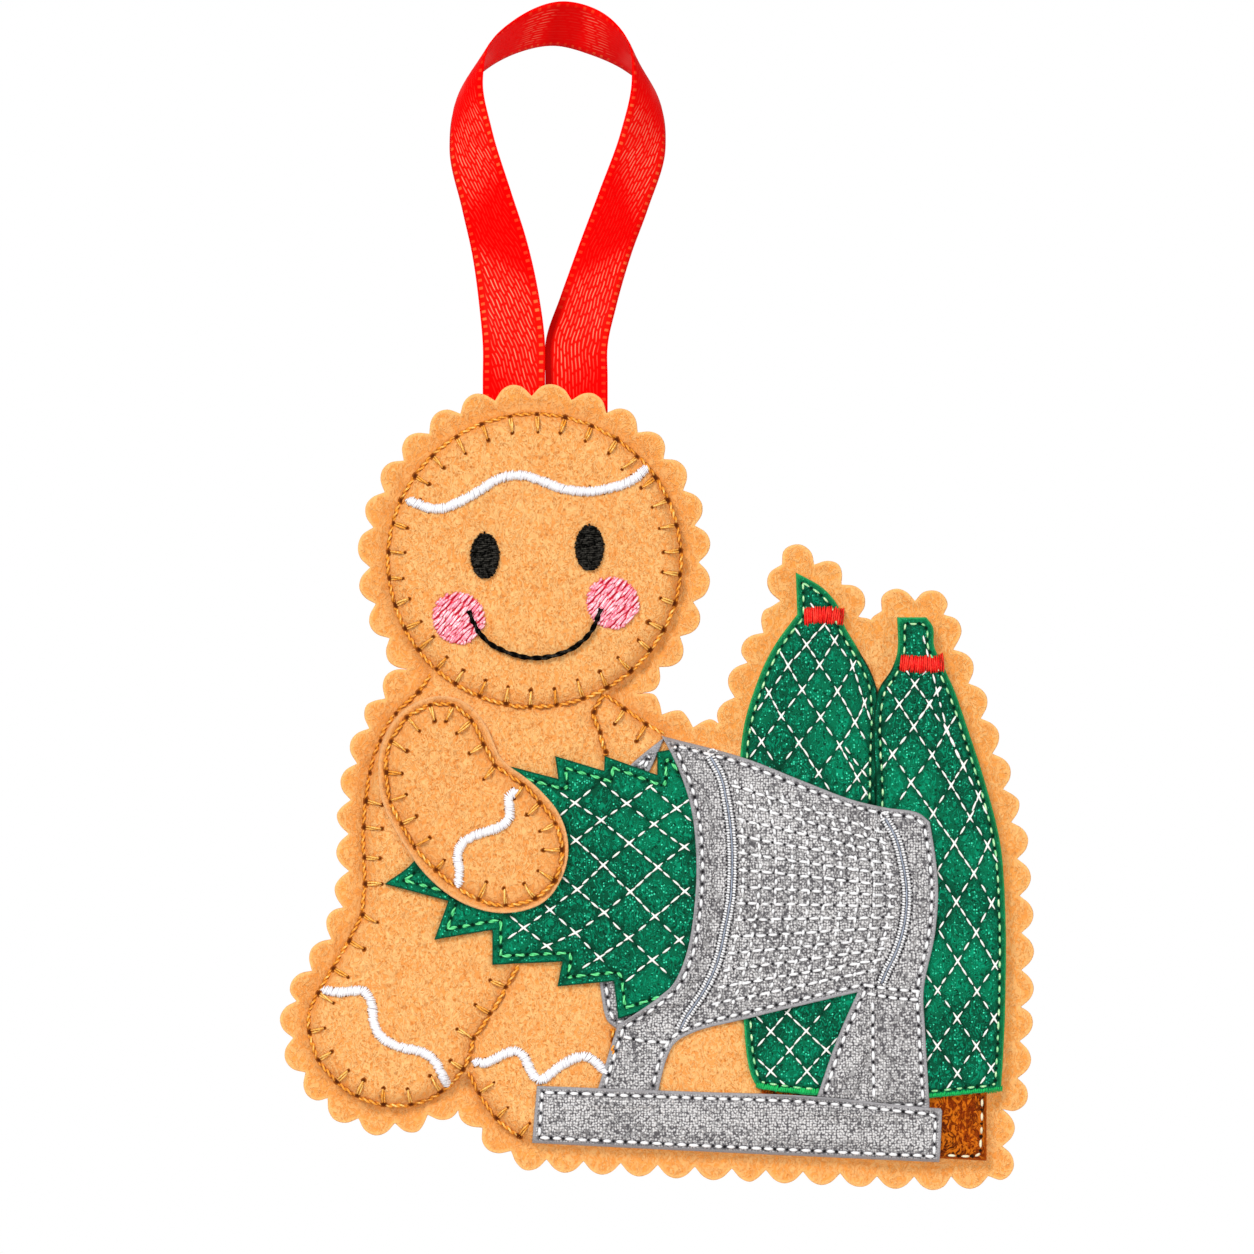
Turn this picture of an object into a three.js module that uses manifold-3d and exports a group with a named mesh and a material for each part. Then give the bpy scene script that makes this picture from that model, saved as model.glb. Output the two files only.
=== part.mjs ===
import * as THREE from 'three';
import { mergeVertices } from 'three/addons/utils/BufferGeometryUtils.js';
import Module from 'manifold-3d';

// Felt Christmas ornament: two scalloped felts, stuffed and sewn together, with a sewn picture of a
// gingerbread figure that pushes a fir into a netting machine. It hangs from a satin ribbon loop.
// Millimetres. X runs to the right and Z up; the picture faces -Y. The origin is the point inside
// the top of the ribbon loop where a hook carries it.

// The picture: from the left foot to the right tree, and from the head's top to the machine's base
const pictureWidth = 111.7;
const pictureHeight = 120;

// Felts and stuffing
const feltThickness = 1.5;
const puff = 2;
const puffReach = 1.2;
const puffRounding = 0.6;
const borderMargin = 2.6;
const scallopDepth = 2;
const scallopPitch = 5.95;
const fit = 0.3;

// Ribbon
const ribbonWidth = 10;
const ribbonThickness = 0.4;
const loopHeight = 56.5;
const loopReach = 17.4;
const loopLean = 1.8;
const tailLength = 12;
const hingeGap = 0.35;
const exitClearance = 0.9;

// Cloths of the picture
const treeFelt = 1;
const armFelt = 1;
const silverCloth = 0.6;
const trunkCloth = 0.6;
const edgeRounding = 0.25;

// Gingerbread figure
const headRadius = 23.8;
const headToLoop = 1.7;
const bodyWidth = 59.4;
const bodyHeight = 75.2;
const armWidth = 30.4;
const armHeight = 34.7;
const eyeWidth = 4.8;
const eyeHeight = 7.5;
const eyeRise = 0.9;
const cheekRadius = 4.25;
const cheekRise = 0.5;
const mouthWidth = 21.1;
const mouthHeight = 8;
const mouthThread = 0.8;
const icingWidth = 1.6;
const icingRise = 0.9;
const browWidth = 36.6;
const browHeight = 6;
const cuffWidth = 9.1;
const cuffHeight = 15.2;
const leftIcingWidth = 18.7;
const leftIcingHeight = 15.2;
const rightIcingWidth = 18.6;
const rightIcingHeight = 4.4;

// Blanket stitch
const stitchThread = 0.5;
const stitchRise = 0.3;
const stitchPitch = 4.25;
const stitchSpur = 2.9;
const stitchInset = 1;
const shoulderSeamWidth = 9.8;
const shoulderSeamHeight = 6.5;

// Trees, trunks, ties and nets
const frontTreeWidth = 52.2;
const frontTreeHeight = 43.1;
const leftTreeWidth = 21.8;
const leftTreeHeight = 83.6;
const rightTreeWidth = 21.2;
const rightTreeHeight = 76.8;
const leftTrunkWidth = 16;
const leftTrunkHeight = 10.5;
const rightTrunkWidth = 18.8;
const rightTrunkHeight = 14.7;
const tieWidth = 6.5;
const tieHeight = 3.3;
const tieRise = 0.8;
const netThread = 0.5;
const netRise = 0.25;
const netInset = 1.2;
const netAcross = 8.5;
const netUp = 7.2;
const backNetAcross = 6.2;
const backNetUp = 9;

// Netting machine
const rimWidth = 11.4;
const rimHeight = 46.7;
const coneWidth = 55.1;
const coneHeight = 59.9;
const baseLength = 65.6;
const baseHeight = 12.3;
const pipingWidth = 1.4;
const pipingRise = 0.5;

// Levels in front of the felt's raised face
const trunkFront = trunkCloth;
const rimFront = silverCloth;
const backTreeFront = trunkFront + treeFelt;
const frontTreeFront = rimFront + treeFelt;
const coneFront = Math.max(frontTreeFront, backTreeFront) + silverCloth;
const baseFront = coneFront + silverCloth;
const armFront = frontTreeFront + armFelt;
const feltFace = -(feltThickness + puff);

// Places of the picture on the ornament
const headX = -loopLean - headToLoop;
const headZ = -loopHeight - exitClearance - scallopDepth - borderMargin - headRadius;
const headPlaceShares = [0.324, 0.803];
const pictureLeft = headX - headPlaceShares[0] * pictureWidth;
const pictureBottom = headZ - headPlaceShares[1] * pictureHeight;
const inPicture = ([x, z]) => [pictureLeft + x * pictureWidth, pictureBottom + z * pictureHeight];

const wasm = await Module();
wasm.setup();

// Rounds a stretch of an outline through its points
function rounded(points, steps) {
  const curve = new THREE.SplineCurve(points.map(([x, z]) => new THREE.Vector2(x, z)));
  return curve.getPoints(steps).map((p) => [p.x, p.y]);
}

// A closed outline rounded through its points
function roundedLoop(points, steps) {
  const curve = new THREE.CatmullRomCurve3(points.map(([x, z]) => new THREE.Vector3(x, z, 0)), true);
  return curve.getPoints(steps).slice(0, -1).map((p) => [p.x, p.y]);
}

// Sizes shares to a width and a height, with their lower left corner at a place in the picture
function sized(shares, width, height, placeShares) {
  const [left, bottom] = inPicture(placeShares);
  return shares.map(([x, z]) => [left + x * width, bottom + z * height]);
}

function areaOf(outline) {
  return outline.reduce((sum, [x, z], i) => {
    const [nextX, nextZ] = outline[(i + 1) % outline.length];
    return sum + (x * nextZ - nextX * z) / 2;
  }, 0);
}

const anticlockwise = (outline) => (areaOf(outline) > 0 ? outline : [...outline].reverse());

// Unit direction from one point to another
function towards([x, z], [nextX, nextZ]) {
  const length = Math.hypot(nextX - x, nextZ - z);
  return [(nextX - x) / length, (nextZ - z) / length];
}

// Moves the edges of an anticlockwise outline outward, or inward where the distance is negative
function grown(outline, distance) {
  const count = outline.length;
  return outline.map((point, i) => {
    const before = towards(outline[(i + count - 1) % count], point);
    const after = towards(point, outline[(i + 1) % count]);
    const spread = Math.max(1 + before[0] * after[0] + before[1] * after[1], 0.5);
    const mitre = distance / spread;
    return [point[0] + (before[1] + after[1]) * mitre, point[1] - (before[0] + after[0]) * mitre];
  });
}

// Distance from a point to an outline, negative inside it
function distanceTo(outline, [x, z]) {
  let nearest = Infinity;
  let inside = false;
  outline.forEach(([ax, az], i) => {
    const [bx, bz] = outline[(i + 1) % outline.length];
    const [ex, ez, wx, wz] = [bx - ax, bz - az, x - ax, z - az];
    const along = Math.min(Math.max((wx * ex + wz * ez) / (ex * ex + ez * ez), 0), 1);
    nearest = Math.min(nearest, Math.hypot(wx - ex * along, wz - ez * along));
    if (az > z !== bz > z && x < ax + (ex * (z - az)) / ez) inside = !inside;
  });
  return inside ? -nearest : nearest;
}

// A body between rings of equal counts, each ring a list of points in space
function lofted(rings, capFaces) {
  const count = rings[0].length;
  const positions = rings.flat().flatMap((p) => [p.x, p.y, p.z]);
  const faces = [];
  for (let ring = 0; ring + 1 < rings.length; ring++) {
    for (let i = 0; i < count; i++) {
      const j = (i + 1) % count;
      const [a, b] = [ring * count + i, ring * count + j];
      faces.push(a, b, b + count, a, b + count, a + count);
    }
  }
  const last = (rings.length - 1) * count;
  capFaces.forEach(([a, b, c]) => faces.push(c, b, a, last + a, last + b, last + c));
  const geometry = new THREE.BufferGeometry();
  geometry.setAttribute('position', new THREE.Float32BufferAttribute(positions, 3));
  geometry.setIndex(faces);
  return geometry;
}

// A body standing on the picture's plane: each step has its outline and its height to the front
function raised(steps, foot) {
  const cap = steps[steps.length - 1][0].map(([x, z]) => new THREE.Vector2(x, z));
  const rings = steps.map(([outline, rise]) =>
    outline.map(([x, z]) => new THREE.Vector3(x, foot - rise, z)));
  return lofted(rings, THREE.ShapeUtils.triangulateShape(cap, []));
}

const prism = (outline, back, front) => raised([[outline, 0], [outline, back - front]], back);

function toSolid(geometry) {
  const merged = mergeVertices(geometry);
  const vertProperties = new Float32Array(merged.attributes.position.array);
  const triVerts = new Uint32Array(merged.index.array);
  return new wasm.Manifold(new wasm.Mesh({ numProp: 3, vertProperties, triVerts }));
}

function toGeometry(solid) {
  const { vertProperties, triVerts } = solid.getMesh();
  const geometry = new THREE.BufferGeometry();
  geometry.setAttribute('position', new THREE.Float32BufferAttribute(vertProperties, 3));
  geometry.setIndex(new THREE.Uint32BufferAttribute(triVerts, 1));
  return geometry;
}

const largestFirst = (solid) => solid.decompose().sort((a, b) => b.volume() - a.volume());

// What is left of a body once others are taken away: its largest piece
function without(geometry, tools) {
  const cut = tools.reduce((body, tool) => body.subtract(toSolid(tool)), toSolid(geometry));
  return toGeometry(largestFirst(cut)[0]);
}

const joined = (geometries) => geometries.map(toSolid).reduce((body, next) => body.add(next));

const group = new THREE.Group();

function addPiece(name, geometry, color, roughness, metalness) {
  geometry.computeVertexNormals();
  const mesh = new THREE.Mesh(geometry, new THREE.MeshStandardMaterial({ color, roughness, metalness }));
  mesh.name = name;
  group.add(mesh);
}

const tan = 0xe8a860;
const fir = 0x0a6b45;
const silver = 0x9a9a9e;
const brown = 0x9a4d14;
const red = 0xd90d0d;
const white = 0xf4f2ee;
const black = 0x111111;
const pink = 0xe58a8a;
const gold = 0xb8741c;

// Outlines of the picture's pieces

const curveSteps = 16;
const longCurveSteps = 42;

const headOutline = Array.from({ length: longCurveSteps }, (unused, i) => {
  const angle = (i / longCurveSteps) * 2 * Math.PI;
  return [headX + headRadius * Math.cos(angle), headZ + headRadius * Math.sin(angle)];
});

const leftSideShares = [[0.43, 0.97], [0.33, 1], [0.23, 0.91], [0.17, 0.79], [0.152, 0.67], [0.151, 0.55],
  [0.11, 0.43], [0.02, 0.31], [0, 0.24], [0.03, 0.165], [0.13, 0.09], [0.24, 0.075], [0.36, 0.11],
  [0.425, 0.15]];
const rightLegShares = [[0.46, 0.1], [0.51, 0.045], [0.57, 0.01], [0.64, 0], [0.82, 0.05], [0.89, 0.31],
  [1, 0.56], [0.96, 0.87], [0.91, 0.89], [0.8, 0.96]];
const bodyShares = [...rounded(leftSideShares, longCurveSteps), ...rightLegShares];
const bodyPlaceShares = [0, 0.026];
const bodyOutline = anticlockwise(sized(bodyShares, bodyWidth, bodyHeight, bodyPlaceShares));

const armShares = [[0.32, 1], [0.14, 0.94], [0.02, 0.79], [0, 0.64], [0.03, 0.49], [0.145, 0.3],
  [0.28, 0.15], [0.46, 0.04], [0.67, 0], [0.87, 0.05], [0.97, 0.17], [1, 0.31], [0.95, 0.46],
  [0.81, 0.6], [0.65, 0.71], [0.57, 0.86], [0.46, 0.97]];
const armLoop = roundedLoop(sized(armShares, armWidth, armHeight, [0.101, 0.333]), longCurveSteps);
const armOutline = anticlockwise(armLoop);

const frontTreeShares = [[0, 0.5], [0.09, 0.59], [0.11, 0.67], [0.21, 0.7], [0.23, 0.81], [0.37, 0.83],
  [0.387, 0.935], [0.53, 0.89], [0.52, 0.975], [0.67, 0.92], [0.672, 0.975], [0.833, 0.905], [0.833, 0.99],
  [0.88, 1], [0.98, 0.81], [1, 0.55], [0.96, 0.26], [0.9, 0.07], [0.713, 0], [0.7, 0.14], [0.527, 0.12],
  [0.542, 0.212], [0.328, 0.2], [0.328, 0.33], [0.15, 0.293], [0.193, 0.437]];
const frontTreeOutline = anticlockwise(
  sized(frontTreeShares, frontTreeWidth, frontTreeHeight, [0.111, 0.192]));

// The far rim of the mouth: an outer bow and an inner one, meeting at the mouth's two ends
const rimOuterShares = [[1, 1], [0.5, 0.9], [0.2, 0.79], [0.04, 0.62], [0, 0.41], [0.05, 0.24],
  [0.12, 0.1], [0.19, 0.03], [0.34, 0]];
const rimInnerShares = [[0.66, 0.03], [0.6, 0.19], [0.4, 0.36], [0.34, 0.55], [0.49, 0.74], [0.8, 0.89]];
const rimShares = [...rounded(rimOuterShares, curveSteps), ...rounded(rimInnerShares, curveSteps)];
const rimOutline = anticlockwise(sized(rimShares, rimWidth, rimHeight, [0.409, 0.178]));

// The cone and its two legs are cut in one: the near rim of the mouth, then top, back and legs
const mouthShares = [[0.07, 0.23], [0.12, 0.26], [0.18, 0.298], [0.236, 0.346], [0.276, 0.442],
  [0.295, 0.57], [0.298, 0.68], [0.285, 0.8], [0.25, 0.905], [0.2, 1]];
const coneTopShares = [[0.44, 0.942], [0.62, 0.877], [0.752, 0.831], [0.85, 0.81], [0.945, 0.795],
  [0.976, 0.772], [0.992, 0.68], [1, 0.59], [0.992, 0.48], [0.958, 0.32], [0.962, 0.22], [0.976, 0]];
const betweenLegShares = [[0.634, 0], [0.712, 0.204], [0.768, 0.319], [0.592, 0.28], [0.433, 0.244],
  [0.284, 0.207], [0.236, 0.18], [0.218, 0.152], [0.18, 0.02], [0, 0.02], [0.047, 0.162]];
const coneShares = [...rounded(mouthShares, curveSteps), ...coneTopShares, ...betweenLegShares];
const conePlaceShares = [0.409, 0.069];
const coneOutline = anticlockwise(sized(coneShares, coneWidth, coneHeight, conePlaceShares));

const baseShares = [[0.012, 1], [0.407, 0.922], [0.682, 0.87], [0.968, 0.72], [0.996, 0.71], [1, 0.68],
  [0.994, 0], [0.407, 0.142], [0, 0.25]];
const baseOutline = anticlockwise(sized(baseShares, baseLength, baseHeight, [0.321, 0]));

const leftTreeShares = [[0.41, 1], [0.6, 0.972], [0.69, 0.948], [0.73, 0.93], [0.75, 0.908], [0.87, 0.852],
  [0.96, 0.81], [1, 0.778], [0.98, 0.64], [0.96, 0.38], [0.93, 0.18], [0.89, 0.07], [0.8, 0], [0.53, 0],
  [0.13, 0.013], [0.08, 0.038], [0.026, 0.143], [0, 0.38], [0, 0.645], [0.04, 0.72], [0.1, 0.771],
  [0.176, 0.822], [0.265, 0.865], [0.42, 0.92]];
const leftTreePlaceShares = [0.619, 0.09];
const leftTreeOutline = anticlockwise(
  sized(leftTreeShares, leftTreeWidth, leftTreeHeight, leftTreePlaceShares));

const rightTreeShares = [[0.18, 1], [0.4, 1], [0.45, 0.98], [0.46, 0.94], [0.54, 0.892], [0.62, 0.842],
  [0.695, 0.782], [0.845, 0.655], [0.96, 0.527], [1, 0.362], [1, 0.245], [0.99, 0.136], [0.965, 0.014],
  [0.7, 0.007], [0.435, 0], [0, 0], [0.03, 0.21], [0.04, 0.62], [0.045, 0.845], [0.14, 0.893],
  [0.18, 0.926]];
const rightTreePlaceShares = [0.81, 0.087];
const rightTreeOutline = anticlockwise(
  sized(rightTreeShares, rightTreeWidth, rightTreeHeight, rightTreePlaceShares));

const squareShares = [[0, 0], [1, 0], [1, 1], [0, 1]];
const rightTrunkOutline = sized(squareShares, rightTrunkWidth, rightTrunkHeight, [0.804, 0.002]);
const leftTrunkOutline = sized(squareShares, leftTrunkWidth, leftTrunkHeight, [0.65, 0.03]);

// The felts' outline: a steady margin round the whole picture, edged with scallops

const pictureOutlines = [headOutline, bodyOutline, frontTreeOutline, coneOutline, baseOutline,
  leftTreeOutline, rightTreeOutline, rightTrunkOutline];
const distanceToPicture = (point) =>
  Math.min(...pictureOutlines.map((outline) => distanceTo(outline, point)));

// The outermost line at a steady distance from the picture, found on a square grid
function marginLine(distance) {
  const points = pictureOutlines.flat();
  const cellsPerScallop = 7;
  const cell = scallopPitch / cellsPerScallop;
  const reach = Math.max(distance, 0) + 2 * cell;
  const left = Math.min(...points.map((p) => p[0])) - reach;
  const bottom = Math.min(...points.map((p) => p[1])) - reach;
  const columns = Math.ceil((Math.max(...points.map((p) => p[0])) + reach - left) / cell);
  const rows = Math.ceil((Math.max(...points.map((p) => p[1])) + reach - bottom) / cell);
  const place = (i, j) => [left + i * cell, bottom + j * cell];
  const heights = Array.from({ length: columns + 1 }, (a, i) =>
    Array.from({ length: rows + 1 }, (b, j) => distanceToPicture(place(i, j)) - distance));
  const next = new Map();
  for (let i = 0; i < columns; i++) {
    for (let j = 0; j < rows; j++) {
      const corners = [[i, j], [i + 1, j], [i + 1, j + 1], [i, j + 1]];
      const crossings = corners.flatMap(([ai, aj], k) => {
        const [bi, bj] = corners[(k + 1) % 4];
        const [a, b] = [heights[ai][aj], heights[bi][bj]];
        if (a < 0 === b < 0) return [];
        const share = a / (a - b);
        const [ax, az] = place(ai, aj);
        const key = `${ai + bi} ${aj + bj}`;
        const point = [ax + (bi - ai) * cell * share, az + (bj - aj) * cell * share];
        return [{ leaves: a < 0, key, point }];
      });
      crossings.forEach((start, k) => {
        const to = crossings[(k + 1) % crossings.length].key;
        if (start.leaves) next.set(start.key, { point: start.point, to });
      });
    }
  }
  let longest = [];
  while (next.size > 0) {
    const loop = [];
    let key = next.keys().next().value;
    while (next.has(key)) {
      const { point, to } = next.get(key);
      next.delete(key);
      loop.push(point);
      key = to;
    }
    if (loop.length > longest.length) longest = loop;
  }
  return longest;
}

// Points at equal distances along a closed line
function evenly(line, count) {
  const ends = [0];
  line.forEach((point, i) => ends.push(ends[i] + Math.hypot(
    line[(i + 1) % line.length][0] - point[0], line[(i + 1) % line.length][1] - point[1])));
  const total = ends[line.length];
  let k = 0;
  const points = Array.from({ length: count }, (unused, i) => {
    const along = (i / count) * total;
    while (ends[k + 1] < along) k++;
    const share = (along - ends[k]) / (ends[k + 1] - ends[k]);
    const [a, b] = [line[k], line[(k + 1) % line.length]];
    return [a[0] + (b[0] - a[0]) * share, a[1] + (b[1] - a[1]) * share];
  });
  return { points, total };
}

// Leaves out the points of a line that lie straight between their neighbours
function thinned(line, slack) {
  const [start, end] = [line[0], line[line.length - 1]];
  const span = Math.hypot(end[0] - start[0], end[1] - start[1]);
  const offsets = line.map(([x, z]) => (span > 0
    ? Math.abs((end[0] - start[0]) * (z - start[1]) - (end[1] - start[1]) * (x - start[0])) / span
    : Math.hypot(x - start[0], z - start[1])));
  const widest = offsets.indexOf(Math.max(...offsets));
  if (offsets[widest] <= slack) return [start, end];
  return [...thinned(line.slice(0, widest + 1), slack).slice(0, -1), ...thinned(line.slice(widest), slack)];
}

function thinnedLoop(line, slack) {
  return thinned([...line, line[0]], slack).slice(0, -1);
}

// Turn of a closed line at a point, over a stretch to either side of it
function turnAt(points, i, stretch) {
  const count = points.length;
  const [ax, az] = towards(points[(i + count - stretch) % count], points[i]);
  const [bx, bz] = towards(points[i], points[(i + stretch) % count]);
  return Math.atan2(ax * bz - az * bx, ax * bx + az * bz);
}

// Whole scallops between the inward corners of the margin line; each ends in a sharp valley
function scalloped(line) {
  const [placesPerScallop, pointsPerScallop] = [12, 4];
  const [cornerTurn, roundness, shrink] = [-0.7, 0.8, 0.85];
  const length = evenly(line, 1).total;
  const { points } = evenly(line, Math.round((length / scallopPitch) * placesPerScallop));
  const count = points.length;
  const turns = points.map((point, i) => turnAt(points, i, placesPerScallop / 4));
  const isCorner = (i) => turns[i] < cornerTurn
    && Array.from({ length: 2 * placesPerScallop }, (unused, k) => k - placesPerScallop)
      .every((k) => turns[(i + k + count) % count] >= turns[i]);
  const corners = points.map((point, i) => i).filter(isCorner);
  const outline = [];
  corners.forEach((start, k) => {
    const run = (corners[(k + 1) % corners.length] - start + count) % count || count;
    const steps = Math.max(1, Math.round(run / placesPerScallop)) * pointsPerScallop;
    for (let step = 0; step < steps; step++) {
      const i = (start + Math.round((step / steps) * run)) % count;
      const along = towards(points[(i + count - 1) % count], points[(i + 1) % count]);
      const profile = Math.sin(Math.PI * ((step % pointsPerScallop) / pointsPerScallop)) ** roundness;
      let depth = scallopDepth * profile;
      const tip = () => [points[i][0] + along[1] * depth, points[i][1] - along[0] * depth];
      const folds = () => distanceToPicture(tip()) < borderMargin + depth * shrink;
      while (folds() && depth > puffRounding / 12) depth *= shrink;
      outline.push(tip());
    }
  });
  return outline;
}

const feltOutline = scalloped(marginLine(borderMargin));
const puffOutline = thinnedLoop(marginLine(puffReach), puffRounding / 6);
const pocketOutline = thinnedLoop(marginLine(puffReach - feltThickness), puffRounding / 6);
const waddingOutline = thinnedLoop(marginLine(puffReach - feltThickness - fit), puffRounding / 6);

// The two ribbon ends lie side by side between the felts, in a slot
const exitZ = -loopHeight;
const tailBottom = exitZ - hingeGap - tailLength;
const slotOutline = [
  [-loopLean - ribbonWidth - fit, tailBottom - fit],
  [-loopLean + ribbonWidth + fit, tailBottom - fit],
  [-loopLean + ribbonWidth + fit, exitZ],
  [-loopLean - ribbonWidth - fit, exitZ],
];
const slotDepth = ribbonThickness / 2 + fit;
const tailSlot = prism(slotOutline, slotDepth, -slotDepth);

// One felt: the flat scalloped border and the part that the stuffing raises
function feltPiece() {
  const border = prism(feltOutline, 0, -feltThickness);
  const flank = [[puffOutline, 0], [puffOutline, feltThickness + puff - puffRounding],
    [grown(puffOutline, -puffRounding), feltThickness + puff]];
  const shell = toGeometry(joined([border, raised(flank, 0)]));
  return without(shell, [prism(pocketOutline, feltThickness, -puff), tailSlot]);
}

// The same body seen in a mirror that lies between the felts
function mirrored(geometry) {
  const copy = geometry.clone().scale(1, -1, 1);
  const index = copy.index.array;
  for (let i = 0; i < index.length; i += 3) [index[i], index[i + 1]] = [index[i + 1], index[i]];
  return copy;
}

function addFeltsAndWadding() {
  const felt = feltPiece();
  addPiece('front_felt', felt, tan, 0.95, 0);
  addPiece('back_felt', mirrored(felt), tan, 0.95, 0);
  const half = puff - fit;
  addPiece('wadding', without(prism(waddingOutline, half, -half), [tailSlot]), white, 1, 0);
}

// The ribbon's route up its left side, from where it leaves the felt to the top of the loop. Each
// station has, in shares, how far it is from the loop's middle, how high it is, how far its width
// tilts in half turns, how much of its width shows, and how far its middle bows outward.
const loopRouteShares = [
  [0.294, 0, 0, 1, 0], [0.304, 0.09, 0.025, 1, 0], [0.36, 0.214, 0.065, 0.913, 0],
  [0.469, 0.372, 0.075, 0.806, 0], [0.604, 0.503, 0.105, 0.708, 0], [0.766, 0.678, 0.12, 0.663, 0],
  [0.765, 0.813, 0.217, 0.502, 0.137], [0.634, 0.914, 0.431, 0.414, 0.048],
  [0.386, 0.967, 0.616, 0.492, 0], [0, 1.003, 0.5, 0.686, 0],
];

// The ribbon's three lines at a station: inner edge, middle and outer edge
function ribbonLines([across, up, tilt, show, bow], side) {
  const middleX = -loopLean * (1 - up) - side * across * loopReach;
  const angle = tilt * Math.PI;
  const reach = (show * ribbonWidth) / 2;
  const depth = (Math.sqrt(1 - show * show) * ribbonWidth) / 2;
  const [dx, dz] = [side * Math.cos(angle) * reach, Math.sin(angle) * reach];
  const [bowX, bowZ] = [-side * Math.sin(angle) * bow * ribbonWidth, Math.cos(angle) * bow * ribbonWidth];
  const z = exitZ + up * loopHeight;
  return [new THREE.Vector3(middleX + dx, -depth, z + dz), new THREE.Vector3(middleX + bowX, 0, z + bowZ),
    new THREE.Vector3(middleX - dx, depth, z - dz)];
}

function addRibbonLoop() {
  const left = loopRouteShares.map((station) => ribbonLines(station, 1));
  left[0].forEach((point) => { point.z += hingeGap; });
  const right = loopRouteShares.slice(0, -1).reverse().map((station) => ribbonLines(station, -1));
  right[right.length - 1].forEach((point) => { point.z += hingeGap; });
  const stations = [...left, ...right];
  const lines = [0, 1, 2].map((k) => new THREE.CatmullRomCurve3(stations.map((station) => station[k])));
  const steps = 44;
  const rings = Array.from({ length: steps + 1 }, (unused, step) => {
    const points = lines.map((line) => line.getPoint(step / steps));
    const normals = points.map((point, k) => {
      const across = points[Math.min(k + 1, 2)].clone().sub(points[Math.max(k - 1, 0)]);
      return across.cross(lines[k].getTangent(step / steps)).setLength(ribbonThickness / 2);
    });
    const face = points.map((point, k) => point.clone().add(normals[k]));
    const reverse = points.map((point, k) => point.clone().sub(normals[k])).reverse();
    return [...face, ...reverse];
  });
  const capFaces = [[0, 1, 4], [0, 4, 5], [1, 2, 3], [1, 3, 4]];
  addPiece('ribbon_loop', lofted(rings, capFaces), red, 0.35, 0);
}

function addRibbonTails() {
  for (const [name, side] of [['ribbon_tail_left', -1], ['ribbon_tail_right', 1]]) {
    const inner = -loopLean + (side * fit) / 2;
    const outer = inner + side * ribbonWidth;
    const outline = anticlockwise([[inner, tailBottom], [outer, tailBottom],
      [outer, exitZ - hingeGap], [inner, exitZ - hingeGap]]);
    addPiece(name, prism(outline, ribbonThickness / 2, -ribbonThickness / 2), red, 0.35, 0);
  }
}

// A cloth piece of the picture lies on the felt and over the pieces below it
function clothPiece(outline, front, below) {
  const steps = [[outline, 0], [outline, front - edgeRounding], [grown(outline, -edgeRounding), front]];
  const tools = below.map(([lower, lowerFront]) =>
    prism(grown(lower, fit), feltFace + fit, feltFace - lowerFront));
  return without(raised(steps, feltFace), tools);
}

const rim = [rimOutline, rimFront];
const frontTree = [frontTreeOutline, frontTreeFront];
const leftTrunk = [leftTrunkOutline, trunkFront];
const rightTrunk = [rightTrunkOutline, trunkFront];
const leftTree = [leftTreeOutline, backTreeFront];
const rightTree = [rightTreeOutline, backTreeFront];
const cone = [coneOutline, coneFront];
const base = [baseOutline, baseFront];
const arm = [armOutline, armFront];

function addCloths() {
  addPiece('trunk_left', clothPiece(...leftTrunk, []), brown, 0.5, 0.3);
  addPiece('trunk_right', clothPiece(...rightTrunk, [leftTrunk]), brown, 0.5, 0.3);
  addPiece('back_tree_left', clothPiece(...leftTree, [leftTrunk, rightTrunk]), fir, 0.85, 0);
  addPiece('back_tree_right', clothPiece(...rightTree, [leftTrunk, rightTrunk, leftTree]), fir, 0.85, 0);
  addPiece('machine_rim', clothPiece(...rim, []), silver, 0.55, 0.4);
  addPiece('front_tree', clothPiece(...frontTree, [rim]), fir, 0.85, 0);
  const underCone = [rim, frontTree, leftTree, rightTree, leftTrunk, rightTrunk];
  addPiece('machine_cone', clothPiece(...cone, underCone), silver, 0.55, 0.4);
  addPiece('machine_base', clothPiece(...base, [...underCone, cone]), silver, 0.55, 0.4);
  addPiece('arm', clothPiece(...arm, [frontTree]), tan, 0.95, 0);
}

// Outline of a thread along an open path
function strip(path, width) {
  const sides = path.map((point, i) => {
    const [alongX, alongZ] = towards(path[Math.max(i - 1, 0)], path[Math.min(i + 1, path.length - 1)]);
    return [point, [(-alongZ * width) / 2, (alongX * width) / 2]];
  });
  const right = sides.map(([[x, z], [nx, nz]]) => [x - nx, z - nz]);
  const left = sides.map(([[x, z], [nx, nz]]) => [x + nx, z + nz]).reverse();
  return [...right, ...left];
}

// The same with a point past each end
function cordOutline(path, width) {
  const edge = strip(path, width);
  const last = path.length - 1;
  const past = (tip, inner) => {
    const [alongX, alongZ] = towards(inner, tip);
    return [tip[0] + (alongX * width) / 2, tip[1] + (alongZ * width) / 2];
  };
  const [end, start] = [past(path[last], path[last - 1]), past(path[0], path[1])];
  return [...edge.slice(0, last + 1), end, ...edge.slice(last + 1), start];
}

// Padded satin stitch along a path, rounded across
function satinCord(path, width, rise, foot) {
  const shares = [[1, 0], [0.92, 0.6], [0.5, 1]];
  return raised(shares.map(([across, up]) => [cordOutline(path, width * across), rise * up]), foot);
}

// A padded satin oval
function satinOval([x, z], width, height, rise, foot) {
  const sides = 20;
  const oval = (share) => Array.from({ length: sides }, (unused, i) => {
    const angle = (i / sides) * 2 * Math.PI;
    return [x + (share * width * Math.cos(angle)) / 2, z + (share * height * Math.sin(angle)) / 2];
  });
  return raised([[oval(1), 0], [oval(0.9), rise * 0.6], [oval(0.6), rise]], foot);
}

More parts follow.
